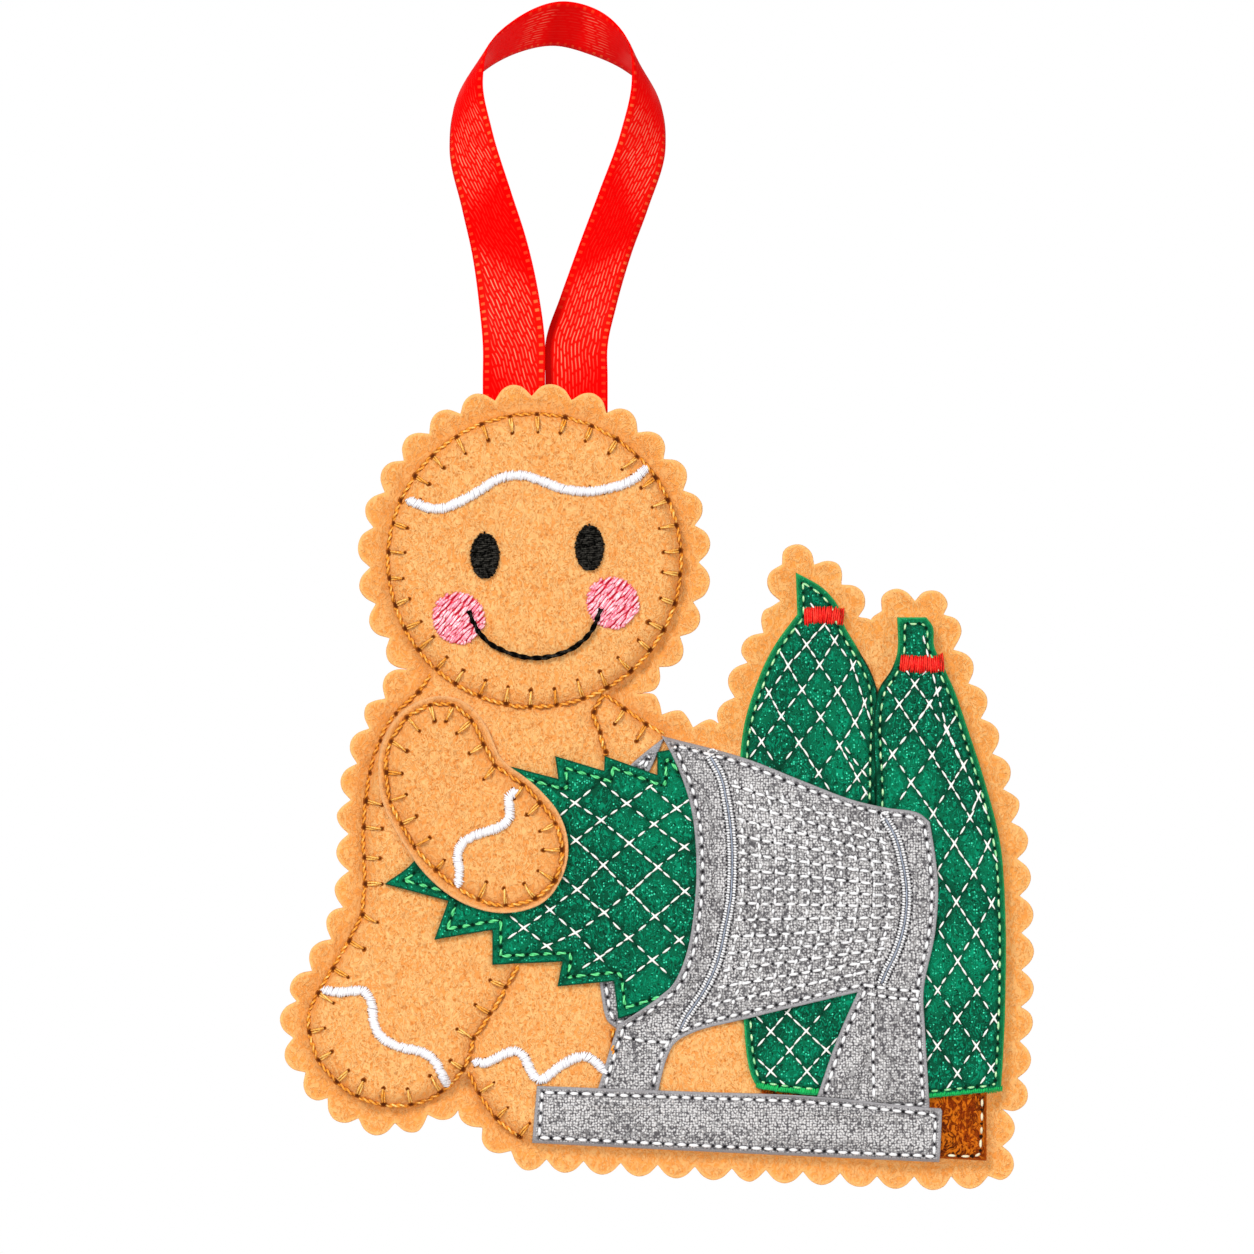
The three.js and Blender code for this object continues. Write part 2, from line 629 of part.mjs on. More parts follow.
const browShares = [[0, 0.2], [0.12, 0], [0.27, 0.36], [0.38, 0.8], [0.48, 0.92], [0.57, 0.77],
  [0.67, 0.54], [0.77, 0.48], [0.86, 0.56], [0.94, 0.72], [1, 1]];
const browPath = rounded(sized(browShares, browWidth, browHeight, [0.147, 0.873]), curveSteps);
const cuffShares = [[0.98, 0.98], [0.87, 0.88], [0.87, 0.79], [0.82, 0.69], [0.67, 0.6], [0.37, 0.54],
  [0.1, 0.46], [0, 0.34], [0.02, 0.19], [0.01, 0.07]];
const cuffPath = rounded(sized(cuffShares, cuffWidth, cuffHeight, [0.214, 0.37]), curveSteps);
const leftFootShares = [[0, 1], [0.12, 0.97], [0.3, 0.99], [0.39, 0.88], [0.42, 0.64], [0.48, 0.49],
  [0.63, 0.4], [0.8, 0.35], [0.91, 0.25], [0.97, 0.11], [1, 0.03]];
const leftFootPath = rounded(
  sized(leftFootShares, leftIcingWidth, leftIcingHeight, [0.03, 0.105]), curveSteps);
const rightFootShares = [[0, 0.58], [0.07, 0.54], [0.19, 0.8], [0.325, 1], [0.41, 0.71], [0.48, 0.2],
  [0.56, 0], [0.72, 0.47], [0.9, 0.8], [1, 0.65]];
const rightFootPath = rounded(
  sized(rightFootShares, rightIcingWidth, rightIcingHeight, [0.243, 0.114]), curveSteps);
const mouthPathShares = [[0, 0.96], [0.08, 0.51], [0.24, 0.17], [0.51, 0], [0.77, 0.17], [0.92, 0.53],
  [1, 1]];
const mouthPath = rounded(sized(mouthPathShares, mouthWidth, mouthHeight, [0.23, 0.674]), curveSteps);

function addFaceAndIcing() {
  for (const [name, place] of [['eye_left', [0.253, 0.809]], ['eye_right', [0.402, 0.82]]]) {
    addPiece(name, satinOval(inPicture(place), eyeWidth, eyeHeight, eyeRise, feltFace), black, 0.35, 0);
  }
  for (const [name, place] of [['cheek_left', [0.215, 0.727]], ['cheek_right', [0.436, 0.747]]]) {
    const cheek = satinOval(inPicture(place), 2 * cheekRadius, 2 * cheekRadius, cheekRise, feltFace);
    const mouthRoom = grown(anticlockwise(cordOutline(mouthPath, mouthThread)), fit);
    const notch = prism(mouthRoom, feltFace + cheekRise, feltFace - 2 * cheekRise);
    addPiece(name, without(cheek, [notch]), pink, 0.5, 0);
  }
  addPiece('mouth', satinCord(mouthPath, mouthThread, mouthThread / 2, feltFace), black, 0.4, 0);
  addPiece('icing_forehead', satinCord(browPath, icingWidth, icingRise, feltFace), white, 0.6, 0);
  addPiece('icing_cuff', satinCord(cuffPath, icingWidth, icingRise, feltFace - armFront), white, 0.6, 0);
  addPiece('icing_left_foot', satinCord(leftFootPath, icingWidth, icingRise, feltFace), white, 0.6, 0);
  addPiece('icing_right_foot', satinCord(rightFootPath, icingWidth, icingRise, feltFace), white, 0.6, 0);
}

const frontPipingShares = [[0.336, 0.962], [0.366, 0.9], [0.388, 0.81], [0.398, 0.72], [0.395, 0.6],
  [0.378, 0.508], [0.355, 0.418], [0.314, 0.341], [0.268, 0.281], [0.25, 0.244]];
const frontPipingPath = rounded(
  sized(frontPipingShares, coneWidth, coneHeight, conePlaceShares), curveSteps);
const rearPipingShares = [[0.845, 0.785], [0.877, 0.735], [0.897, 0.662], [0.907, 0.588], [0.9, 0.51],
  [0.877, 0.437], [0.852, 0.39], [0.838, 0.37]];
const rearPipingPath = rounded(sized(rearPipingShares, coneWidth, coneHeight, conePlaceShares), curveSteps);

function addPiping() {
  const face = feltFace - coneFront;
  addPiece('piping_front', satinCord(frontPipingPath, pipingWidth, pipingRise, face), silver, 0.4, 0.3);
  addPiece('piping_rear', satinCord(rearPipingPath, pipingWidth, pipingRise, face), silver, 0.4, 0.3);
}

const tieOutline = (placeShares) => sized(squareShares, tieWidth, tieHeight, placeShares);
const leftTieOutline = tieOutline([0.709, 0.714]);
const rightTieOutline = tieOutline([0.849, 0.652]);

function addTies() {
  for (const [name, outline] of [['tie_left', leftTieOutline], ['tie_right', rightTieOutline]]) {
    const steps = [[outline, 0], [outline, tieRise * 0.6], [grown(outline, -tieRise * 0.6), tieRise]];
    addPiece(name, raised(steps, feltFace - backTreeFront), red, 0.45, 0);
  }
}

// A diamond net of straight threads on a tree, ending inside its edge and short of what lies over it.
// Gives the pieces that are left, the largest first.
function netPieces([outline, front], across, up, above) {
  const [xs, zs] = [0, 1].map((k) => outline.map((point) => point[k]));
  const [left, right] = [Math.min(...xs), Math.max(...xs)];
  const [bottom, top] = [Math.min(...zs), Math.max(...zs)];
  const drift = ((top - bottom) / up) * across;
  const [back, face] = [feltFace - front, feltFace - front - netRise];
  const threads = [];
  for (let start = left - drift; start < right + drift; start += across) {
    for (const lean of [drift, -drift]) {
      const reaches = Math.max(start, start + lean) > left && Math.min(start, start + lean) < right;
      const path = [[start, bottom], [start + lean, top]];
      if (reaches) threads.push(prism(anticlockwise(strip(path, netThread)), back, face));
    }
  }
  const through = (piece) => toSolid(prism(piece, back + netRise, face - netRise));
  const net = joined(threads).intersect(through(grown(outline, -netInset)));
  const cut = above.reduce((body, piece) => body.subtract(through(grown(piece, fit))), net);
  return largestFirst(cut).map(toGeometry);
}

function addNets() {
  const addNet = (name, geometry) => addPiece(name, geometry, white, 0.6, 0);
  addNet('net_front', netPieces(frontTree, netAcross, netUp, [coneOutline, armOutline])[0]);
  const besideCone = [coneOutline, baseOutline];
  const [upper, lower] = netPieces(leftTree, backNetAcross, backNetUp, [...besideCone, leftTieOutline]);
  addNet('net_back_left', upper);
  addNet('net_back_left_foot', lower);
  const overRight = [...besideCone, leftTreeOutline, rightTieOutline];
  addNet('net_back_right', netPieces(rightTree, backNetAcross, backNetUp, overRight)[0]);
}

// Blanket stitch: a thread along a path with a spur into its left side at each pitch
function blanketStitch(path, closed, face, keepClear) {
  const front = face - stitchRise;
  const line = closed
    ? toSolid(prism(grown(path, stitchThread / 2), face, front))
      .subtract(toSolid(prism(grown(path, -stitchThread / 2), face + stitchRise, front - stitchRise)))
    : toSolid(prism(anticlockwise(strip(path, stitchThread)), face, front));
  const track = closed ? [...path, path[0]] : path;
  const spurs = [];
  let sinceSpur = stitchPitch / 2;
  track.slice(0, -1).forEach((point, i) => {
    const [alongX, alongZ] = towards(point, track[i + 1]);
    const length = Math.hypot(track[i + 1][0] - point[0], track[i + 1][1] - point[1]);
    for (; sinceSpur < length; sinceSpur += stitchPitch) {
      const root = [point[0] + alongX * sinceSpur, point[1] + alongZ * sinceSpur];
      const tip = [root[0] - alongZ * stitchSpur, root[1] + alongX * stitchSpur];
      const middle = [(root[0] + tip[0]) / 2, (root[1] + tip[1]) / 2];
      const clear = keepClear.every((outline) =>
        [tip, middle].every((end) => distanceTo(outline, end) > stitchThread + fit));
      if (clear) spurs.push(prism(anticlockwise(strip([root, tip], stitchThread)), face, front));
    }
    sinceSpur -= length;
  });
  const stitching = toGeometry([line, ...spurs.map(toSolid)].reduce((body, next) => body.add(next)));
  return without(stitching, keepClear.map((outline) =>
    prism(grown(anticlockwise(outline), fit), face + stitchRise, front - stitchRise)));
}

const leftBodyStitchShares = [[0.335, 0.98], [0.287, 0.953], [0.226, 0.911], [0.185, 0.853], [0.163, 0.79],
  [0.155, 0.728], [0.149, 0.61], [0.151, 0.548], [0.144, 0.49], [0.109, 0.434], [0.063, 0.372],
  [0.023, 0.319],
  [0.001, 0.28], [0, 0.236], [0.025, 0.176], [0.075, 0.131], [0.13, 0.1], [0.2, 0.082], [0.279, 0.082],
  [0.357, 0.108], [0.418, 0.16], [0.445, 0.223], [0.493, 0.28], [0.533, 0.334], [0.568, 0.383]];
const rightFootStitchShares = [[0.43, 0.136], [0.457, 0.107], [0.505, 0.053], [0.56, 0.018]];
const shoulderSeamShares = [[1, 0], [0.697, 0.261], [0.377, 0.594], [0, 1]];
const shoulderSeam = rounded(
  sized(shoulderSeamShares, shoulderSeamWidth, shoulderSeamHeight, [0.423, 0.572]), curveSteps);

function addBlanketStitches() {
  const bodyPath = (shares, steps) => rounded(sized(shares, bodyWidth, bodyHeight, bodyPlaceShares), steps);
  const icing = [browPath, leftFootPath, rightFootPath].map((path) => cordOutline(path, icingWidth));
  const head = grown(headOutline, -stitchThread);
  addPiece('head_stitching', blanketStitch(head, true, feltFace, icing), gold, 0.6, 0);
  const left = blanketStitch(bodyPath(leftBodyStitchShares, longCurveSteps), false, feltFace,
    [...icing, armOutline, frontTreeOutline]);
  addPiece('body_stitching', left, gold, 0.6, 0);
  const foot = blanketStitch(bodyPath(rightFootStitchShares, curveSteps), false, feltFace,
    [...icing, baseOutline]);
  addPiece('foot_stitching', foot, gold, 0.6, 0);
  const shoulder = blanketStitch(shoulderSeam, false, feltFace, [coneOutline]);
  addPiece('shoulder_stitching', shoulder, gold, 0.6, 0);
  const armLine = grown(armOutline, -stitchInset);
  const cuff = cordOutline(cuffPath, icingWidth);
  addPiece('arm_stitching', blanketStitch(armLine, true, feltFace - armFront, [cuff]), gold, 0.6, 0);
}

addFeltsAndWadding();
addRibbonLoop();
addRibbonTails();
addCloths();
addFaceAndIcing();
addPiping();
addTies();
addNets();
addBlanketStitches();

export default group;
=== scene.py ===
import math

import bpy
import numpy as np
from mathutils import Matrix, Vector, geometry
from mathutils.bvhtree import BVHTree


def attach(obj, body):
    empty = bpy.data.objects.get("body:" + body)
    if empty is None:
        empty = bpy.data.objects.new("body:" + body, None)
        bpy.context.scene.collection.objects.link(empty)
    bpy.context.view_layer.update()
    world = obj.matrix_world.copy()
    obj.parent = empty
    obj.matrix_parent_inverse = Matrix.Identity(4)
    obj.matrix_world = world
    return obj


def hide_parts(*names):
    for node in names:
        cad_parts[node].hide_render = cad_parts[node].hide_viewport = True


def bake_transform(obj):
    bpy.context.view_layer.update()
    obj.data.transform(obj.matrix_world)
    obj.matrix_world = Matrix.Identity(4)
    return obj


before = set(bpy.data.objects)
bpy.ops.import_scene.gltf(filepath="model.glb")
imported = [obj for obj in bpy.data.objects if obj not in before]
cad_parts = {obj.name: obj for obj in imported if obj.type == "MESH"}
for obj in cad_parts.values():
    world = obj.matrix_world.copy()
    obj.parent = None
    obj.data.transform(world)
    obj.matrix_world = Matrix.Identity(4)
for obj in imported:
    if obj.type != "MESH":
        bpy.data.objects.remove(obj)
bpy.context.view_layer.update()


# ---------------------------------------------------------------------------------------------
# Wadding: loose white polyester between the two felts. It is teased out by hand, laid on the back
# felt and closed in by the sewing. It keeps the shape of its CAD node and gets a fibre finish.

def node(tree, kind, inputs=None, **settings):
    made = tree.nodes.new(kind)
    for name, value in settings.items():
        setattr(made, name, value)
    for name, value in (inputs or {}).items():
        if isinstance(value, bpy.types.NodeSocket):
            tree.links.new(value, made.inputs[name])
        else:
            made.inputs[name].default_value = value
    return made


def maths(tree, operation, first, second=0.0):
    return node(tree, "ShaderNodeMath", {0: first, 1: second}, operation=operation).outputs[0]


def plus(tree, first, second):
    return maths(tree, "ADD", first, second)


def minus(tree, first, second):
    return maths(tree, "SUBTRACT", first, second)


def times(tree, first, second):
    return maths(tree, "MULTIPLY", first, second)


def less(tree, value):
    """What is left of 1 without the value."""
    return minus(tree, 1.0, value)


def ramp(tree, value, low, high):
    """0 below low, 1 above high and smooth between."""
    made = node(tree, "ShaderNodeMapRange", {"Value": value, "From Min": low, "From Max": high},
                interpolation_type="SMOOTHSTEP")
    return made.outputs["Result"]


def layered(tree, ground, *layers):
    """A colour with others laid over it, one after the other, each by its own share."""
    for share, colour in layers:
        ground = node(tree, "ShaderNodeMix", {0: share, 6: ground, 7: colour}, data_type="RGBA").outputs[2]
    return ground


def cloth_colour(red, green, blue):
    """A colour as it looks on the cloth, in shares of white, as the shader needs it."""
    return tuple(c / 12.92 if c < 0.04045 else ((c + 0.055) / 1.055) ** 2.4 for c in (red, green, blue)) + (1,)


def effect(name, inputs, outputs):
    """An empty node group with named value inputs and outputs."""
    group = bpy.data.node_groups.new(name, "ShaderNodeTree")
    for label, value in inputs.items():
        group.interface.new_socket(label, in_out="INPUT", socket_type="NodeSocketFloat").default_value = value
    for label in outputs:
        group.interface.new_socket(label, in_out="OUTPUT", socket_type="NodeSocketFloat")
    return group, group.nodes.new("NodeGroupInput").outputs, group.nodes.new("NodeGroupOutput").inputs


def make_fibre_tangle():
    """Pressed fibres: thin curved pale hairs lying every way, dark gaps, single pits and slow patches."""
    group, given, result = effect("fibre_tangle", {"Spacing mm": 1.0, "Curl": 1.0}, ["Strand", "Gap", "Pit", "Patch"])
    where = node(group, "ShaderNodeTexCoord").outputs["Object"]
    per_metre = maths(group, "DIVIDE", 1000.0, given["Spacing mm"])
    scaled = node(group, "ShaderNodeVectorMath", {0: where, 3: per_metre}, operation="SCALE").outputs[0]
    sway = node(group, "ShaderNodeTexNoise", {"Vector": scaled, "Scale": 0.32, "Detail": 1.0})
    centred = node(group, "ShaderNodeVectorMath", {0: sway.outputs["Color"], 1: (0.5, 0.5, 0.5)},
                   operation="SUBTRACT").outputs[0]
    bent = node(group, "ShaderNodeVectorMath", {0: centred, 3: times(group, given["Curl"], 6.0)},
                operation="SCALE").outputs[0]
    curled = node(group, "ShaderNodeVectorMath", {0: scaled, 1: bent}, operation="ADD").outputs[0]
    hairs = []
    for turn, offset in ((0.2, 0.0), (1.25, 31.0), (2.3, 67.0)):
        laid_out = node(group, "ShaderNodeMapping", {"Vector": curled, "Location": (offset, 0.0, offset),
                                                     "Rotation": (0.0, turn, 0.0), "Scale": (1.0, 1.0, 0.27)})
        noise = node(group, "ShaderNodeTexNoise", {"Vector": laid_out.outputs[0], "Scale": 1.15, "Detail": 1.0,
                                                   "Roughness": 0.45})
        hairs.append(ramp(group, noise.outputs[0], 0.56, 0.65))
    strands = maths(group, "MAXIMUM", maths(group, "MAXIMUM", hairs[0], hairs[1]), hairs[2])
    gaps = node(group, "ShaderNodeTexNoise", {"Vector": scaled, "Scale": 0.9, "Detail": 1.0})
    deep = less(group, ramp(group, gaps.outputs[0], 0.3, 0.42))
    pits = node(group, "ShaderNodeTexVoronoi", {"Vector": scaled, "Scale": 0.62}, feature="F1")
    chance = node(group, "ShaderNodeSeparateColor", {0: pits.outputs["Color"]}).outputs[0]
    size = minus(group, pits.outputs["Distance"], times(group, chance, 0.22))
    pit = less(group, ramp(group, size, 0.0, 0.16))
    patch = node(group, "ShaderNodeTexNoise", {"Vector": scaled, "Scale": 0.14, "Detail": 2.0})
    for label, value in (("Strand", strands), ("Gap", times(group, deep, less(group, strands))),
                         ("Pit", times(group, pit, less(group, times(group, strands, 0.3)))),
                         ("Patch", patch.outputs[0])):
        group.links.new(value, result[label])
    return group


def finish(name, roughness, **constants):
    """A new material with its shader, whose constant values sit on the shader's own sockets."""
    material = bpy.data.materials.new(name)
    material.use_nodes = True
    tree = material.node_tree
    surface = tree.nodes["Principled BSDF"]
    surface.inputs["Roughness"].default_value = roughness
    for label, value in constants.items():
        surface.inputs[label.replace("_", " ")].default_value = value
    return material, tree, surface


def tangle(tree, spacing):
    made = node(tree, "ShaderNodeGroup", node_tree=fibre_tangle)
    made.inputs["Spacing mm"].default_value = spacing
    return made.outputs


def raise_by(tree, surface, height, distance, strength=1.0):
    bump = node(tree, "ShaderNodeBump", {"Height": height, "Distance": distance, "Strength": strength})
    tree.links.new(bump.outputs[0], surface.inputs["Normal"])


def make_wadding_finish():
    material, tree, surface = finish("polyester_wadding", 0.95)
    strand = tangle(tree, 1.6)["Strand"]
    white = layered(tree, cloth_colour(0.80, 0.79, 0.77), (strand, cloth_colour(0.97, 0.97, 0.96)))
    tree.links.new(white, surface.inputs["Base Color"])
    raise_by(tree, surface, strand, 0.0004)
    return material


fibre_tangle = make_fibre_tangle()
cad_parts["wadding"].data.materials.clear()
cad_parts["wadding"].data.materials.append(make_wadding_finish())


# ---------------------------------------------------------------------------------------------
# Felts: two pieces of 1.5 mm tan craft felt, die-cut with scalloped edges and sewn together round
# the picture with wadding between them. Both swell inside the sewing, and the stitches draw the front in.

feltThickness, puff, puffRun, crown, crownRun = 1.5, 2.0, 2.2, 0.5, 6.0
sewnDent, sewnDentWidth, marginDent, marginDentWidth = 0.62, 1.25, 0.35, 1.3
cutRounding, creaseWidth, seamShadeWidth = 0.22, 0.45, 1.9
feltStep, backFeltStep, rowShare = 0.85, 1.3, 0.866
mmPerStep, pictureMiddle, pictureTop = 0.16, 556, 24


def area_of(loop):
    ahead = np.roll(loop, -1, 0)
    return 0.5 * float(np.sum(loop[:, 0] * ahead[:, 1] - loop[:, 1] * ahead[:, 0]))


def cut_line(piece, level, rank=0):
    """Outline in mm of a CAD node's flat face at that depth; rank 0 is the largest one."""
    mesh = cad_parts[piece].data
    corners = [tuple(round(c * 1e6) for c in v.co) for v in mesh.vertices]
    edges = set()
    for face in mesh.polygons:
        around = [corners[i] for i in face.vertices]
        if all(abs(y - level * 1000) < 20 for _, y, _ in around):
            edges.update(zip(around, around[1:] + around[:1]))
    follow = {a: b for a, b in edges if (b, a) not in edges}
    loops = []
    while follow:
        start = min(follow)
        loop, corner = [start], follow.pop(start)
        while corner != start and corner in follow:
            loop.append(corner)
            corner = follow.pop(corner)
        loops.append(np.array([(x / 1000, z / 1000) for x, _, z in loop]))
    loop = sorted(loops, key=lambda found: -abs(area_of(found)))[rank]
    return loop if area_of(loop) > 0 else loop[::-1]


def unit(vectors):
    return vectors / np.maximum(np.linalg.norm(vectors, axis=-1, keepdims=True), 1e-9)


def grown(loop, by):
    """The loop moved outward by that much, square to its edges."""
    ahead = unit(np.roll(loop, -1, 0) - loop)
    out = np.stack([ahead[:, 1], -ahead[:, 0]], 1)
    before = np.roll(out, 1, 0)
    corner = (out + before) / np.maximum(1 + np.sum(out * before, 1, keepdims=True), 0.35)
    return loop + corner * by


def bridge(t, start, leaving, end, arriving, reach=1.0):
    """Places on a smooth line from start to end, at shares t of the way, with the slopes at its ends."""
    return ((2 * t**3 - 3 * t**2 + 1) * start + (t**3 - 2 * t**2 + t) * reach * leaving
            + (3 * t**2 - 2 * t**3) * end + (t**3 - t**2) * reach * arriving)


def flowing(loop, step, sharp=35.0, only_inward=False):
    """A smooth line through an outline's points that keeps its sharp corners."""
    into = unit(loop - np.roll(loop, 1, 0))
    out = unit(np.roll(loop, -1, 0) - loop)
    turn = np.degrees(np.arctan2(into[:, 0] * out[:, 1] - into[:, 1] * out[:, 0], np.sum(into * out, 1)))
    kept = (turn < -sharp) if only_inward else (np.abs(turn) > sharp)
    soft = unit(into + out)
    leaving = np.where(kept[:, None], out, soft)
    arriving = np.where(kept[:, None], into, soft)
    points = []
    for i in range(len(loop)):
        j = (i + 1) % len(loop)
        length = float(np.linalg.norm(loop[j] - loop[i]))
        count = max(1, round(length / step))
        t = (np.arange(count) / count)[:, None]
        points.append(bridge(t, loop[i], leaving[i], loop[j], arriving[j], length))
    return np.vstack(points)


def untangled(loop):
    """The loop without the small knots that its sharp inward corners can leave."""
    def turn(p, q, r):
        to_q, to_r = q - p, r - p
        return to_q[..., 0] * to_r[..., 1] - to_q[..., 1] * to_r[..., 0]

    while True:
        after = np.roll(loop, -1, 0)
        a, b, c, d = loop[:, None], after[:, None], loop[None], after[None]
        crossing = (turn(a, b, c) * turn(a, b, d) < 0) & (turn(c, d, a) * turn(c, d, b) < 0)
        first, second = np.nonzero(np.triu(crossing, 2))
        if not len(first):
            return loop
        gap = second - first
        pick = int(np.argmin(np.minimum(gap, len(loop) - gap)))
        i, j = first[pick], second[pick]
        loop = np.vstack([loop[:i + 1], loop[j + 1:]]) if j - i < len(loop) / 2 else loop[i + 1:j + 1]


def distance_to(points, segments):
    """Distance from each point to the nearest of the segments, given as rows of x, z, x, z."""
    best = np.full(len(points), 1e9)
    for ax, az, bx, bz in segments:
        dx, dz = bx - ax, bz - az
        t = np.clip(((points[:, 0] - ax) * dx + (points[:, 1] - az) * dz) / max(dx * dx + dz * dz, 1e-12), 0, 1)
        best = np.minimum(best, np.hypot(points[:, 0] - ax - t * dx, points[:, 1] - az - t * dz))
    return best


def sides(loop, closed=True):
    rows = np.hstack([loop, np.roll(loop, -1, 0)])
    return rows if closed else rows[:-1]


def depth_in(points, loop):
    """How far inside the loop each point lies; below zero outside."""
    inside = np.zeros(len(points), bool)
    for ax, az, bx, bz in sides(loop):
        crosses = (az > points[:, 1]) != (bz > points[:, 1])
        if az != bz:
            inside ^= crosses & (points[:, 0] < ax + (points[:, 1] - az) * (bx - ax) / (bz - az))
    away = distance_to(points, sides(loop))
    return np.where(inside, away, -away)


def smooth(share):
    share = np.clip(share, 0, 1)
    return share * share * (3 - 2 * share)


def triangles_in(points, loop):
    """Triangles between points, of which the first ones are the loop, that lie inside the loop."""
    around = range(len(loop))
    made = geometry.delaunay_2d_cdt([Vector(p) for p in points], [], [list(around)], 1, 1e-5, True)
    source = [old[0] if old else -1 for old in made[3]]
    faces = np.array([[source[i] for i in face] for face in made[2]])
    faces = faces[(faces >= 0).all(1)]
    return [tuple(face) for face in faces[depth_in(points[faces].mean(1), loop) > 0]]


def along_lines(lines, step, offsets):
    """Points set along straight stretches and a little to each side of them."""
    found = []
    for ax, az, bx, bz in lines:
        length = math.hypot(bx - ax, bz - az)
        if length < 1e-6:
            continue
        count = max(1, round(length / step))
        t = ((np.arange(count) + 0.5) / count)[:, None]
        middle = np.array([[ax, az]]) * (1 - t) + np.array([[bx, bz]]) * t
        aside = np.array([-(bz - az), bx - ax]) / length
        found += [middle + aside * off for off in offsets]
    return np.vstack(found)


def thinned(points, least):
    """The points without those that share a small square with an earlier one."""
    squares = np.floor(points / least).astype(int)
    return points[np.sort(np.unique(squares, axis=0, return_index=True)[1])]


def filled(loop, step, rings=(0.1, 0.28), lines=None, offsets=()):
    """Points over a loop, close-set along its edge and along its sewn lines, and the triangles between."""
    last_ring = rings[-1] if rings else 0
    low, high = loop.min(0), loop.max(0)
    rows = int((high[1] - low[1]) / (step * rowShare)) + 2
    columns = int((high[0] - low[0]) / step) + 2
    grid = np.array([(low[0] + (c + 0.5 * (r % 2)) * step, low[1] + r * step * rowShare)
                     for r in range(rows) for c in range(columns)])
    grid = grid[depth_in(grid, loop) > last_ring + 0.45 * step]
    extra = []
    if lines is not None:
        grid = grid[distance_to(grid, lines) > max(offsets) + 0.35 * step]
        guides = thinned(along_lines(lines, 0.75 * step, offsets), 0.3 * step)
        extra.append(guides[depth_in(guides, loop) > last_ring + 0.15])
    for ring in rings:
        moved = grown(loop, -ring)
        extra.append(moved[depth_in(moved, loop) > ring * 0.9])
    every = np.vstack([loop, *extra, grid])
    return every, triangles_in(every, loop)


def mesh_piece(name, points, faces, finishes, body="ornament", attributes=None):
    """A piece from points in mm, in the frame's axes."""
    mesh = bpy.data.meshes.new(name)
    mesh.from_pydata([tuple(p) for p in np.asarray(points) / 1000], [], [tuple(map(int, f)) for f in faces])
    for label, values in (attributes or {}).items():
        kept = mesh.attributes.new(label, "FLOAT", "POINT")
        kept.data.foreach_set("value", np.asarray(values, np.float32))
    mesh.polygons.foreach_set("use_smooth", [True] * len(mesh.polygons))
    mesh.update()
    piece = bpy.data.objects.new(name, mesh)
    bpy.context.scene.collection.objects.link(piece)
    for one in finishes if isinstance(finishes, list) else [finishes]:
        mesh.materials.append(one)
    if body:
        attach(piece, body)
    return piece


def uneven(points, size, height, turn=0.0):
    """Slow unevenness of a hand-stuffed surface, the same on every run."""
    x, z = points[:, 0] / size, points[:, 1] / size
    return height * (np.sin(x * 1.7 + 1.3 * np.sin(z * 1.1 + turn)) * np.cos(z * 1.9 + 0.9 * np.sin(x * 1.3 + turn))
                     + 0.5 * np.sin(x * 3.9 + z * 2.7 + turn) * np.cos(z * 4.3 - x * 1.2))


def shell(name, loop, step, front, foot, finishes, facing=-1, back=False, creases=None):
    """A cut piece of cloth: its face, its rounded cut edge and, with back, its flat hidden side.
    front and foot give the height in mm, away from the middle, of its face and of its edge's foot."""
    sewn = creases is not None
    points, faces = filled(loop, step, lines=creases, offsets=(0.0, -creaseWidth, creaseWidth) if sewn else ())
    depth = np.maximum(depth_in(points, loop), 0)
    drop = cutRounding * (1 - np.sqrt(1 - (1 - np.minimum(depth / cutRounding, 1)) ** 2))
    height = front(points) - drop
    seam_away = distance_to(points, creases) if sewn else np.full(len(points), 99.0)
    # painted shade for the finishes: a narrow dark band along each sewn line and a wider soft one round it
    crease_shade, seam_shade = np.exp(-(seam_away / creaseWidth) ** 2), np.exp(-(seam_away / seamShadeWidth) ** 2)
    where = [np.stack([points[:, 0], facing * height, points[:, 1]], 1)]
    around = len(loop)
    first, levels = len(points), 3
    top, low = height[:around], foot(loop)
    for level in range(1, levels + 1):
        share = level / levels
        where.append(np.stack([loop[:, 0], facing * (top + (low - top) * share), loop[:, 1]], 1))
    faces = [f[::-1] for f in faces] if facing > 0 else list(faces)
    for level in range(levels):
        upper = 0 if level == 0 else first + (level - 1) * around
        lower = first + level * around
        for i in range(around):
            j = (i + 1) % around
            quad = (upper + i, lower + i, lower + j, upper + j)
            faces.append(quad if facing < 0 else quad[::-1])
    if back:
        base = first + (levels - 1) * around
        faces += [tuple(base + i for i in (f if facing > 0 else f[::-1])) for f in triangles_in(loop, loop)]
    every = np.vstack(where)
    wall = np.zeros(levels * around)
    marks = {"edge_mm": np.concatenate([depth, wall - 0.2]), "crease_shade": np.concatenate([crease_shade, wall]),
             "seam_shade": np.concatenate([seam_shade, wall])}
    return mesh_piece(name, every, faces, finishes, attributes=marks)


def spots(path):
    """Places on the picture, counted in steps to the right and down, in mm."""
    return np.array([((across - pictureMiddle) * mmPerStep, (pictureTop - down) * mmPerStep)
                     for across, down in path])


def curve_through(path, step=0.35, closed=False):
    """A smooth line through given points."""
    loop = np.asarray(path, float)
    ahead = np.roll(loop, -1, 0) if closed else np.vstack([loop[1:], 2 * loop[-1] - loop[-2]])
    behind = np.roll(loop, 1, 0) if closed else np.vstack([2 * loop[0] - loop[1], loop[:-1]])
    slope = (ahead - behind) / 2
    points = []
    for i in range(len(loop) if closed else len(loop) - 1):
        j = (i + 1) % len(loop)
        count = max(1, round(float(np.linalg.norm(loop[j] - loop[i])) / step))
        t = (np.arange(count) / count)[:, None]
        points.append(bridge(t, loop[i], slope[i], loop[j], slope[j]))
    if not closed:
        points.append(loop[-1:])
    return np.vstack(points)


def circle(centre, radius, count=90):
    angle = np.arange(count) / count * 2 * math.pi
    return np.array(centre) + radius * np.stack([np.cos(angle), np.sin(angle)], 1)


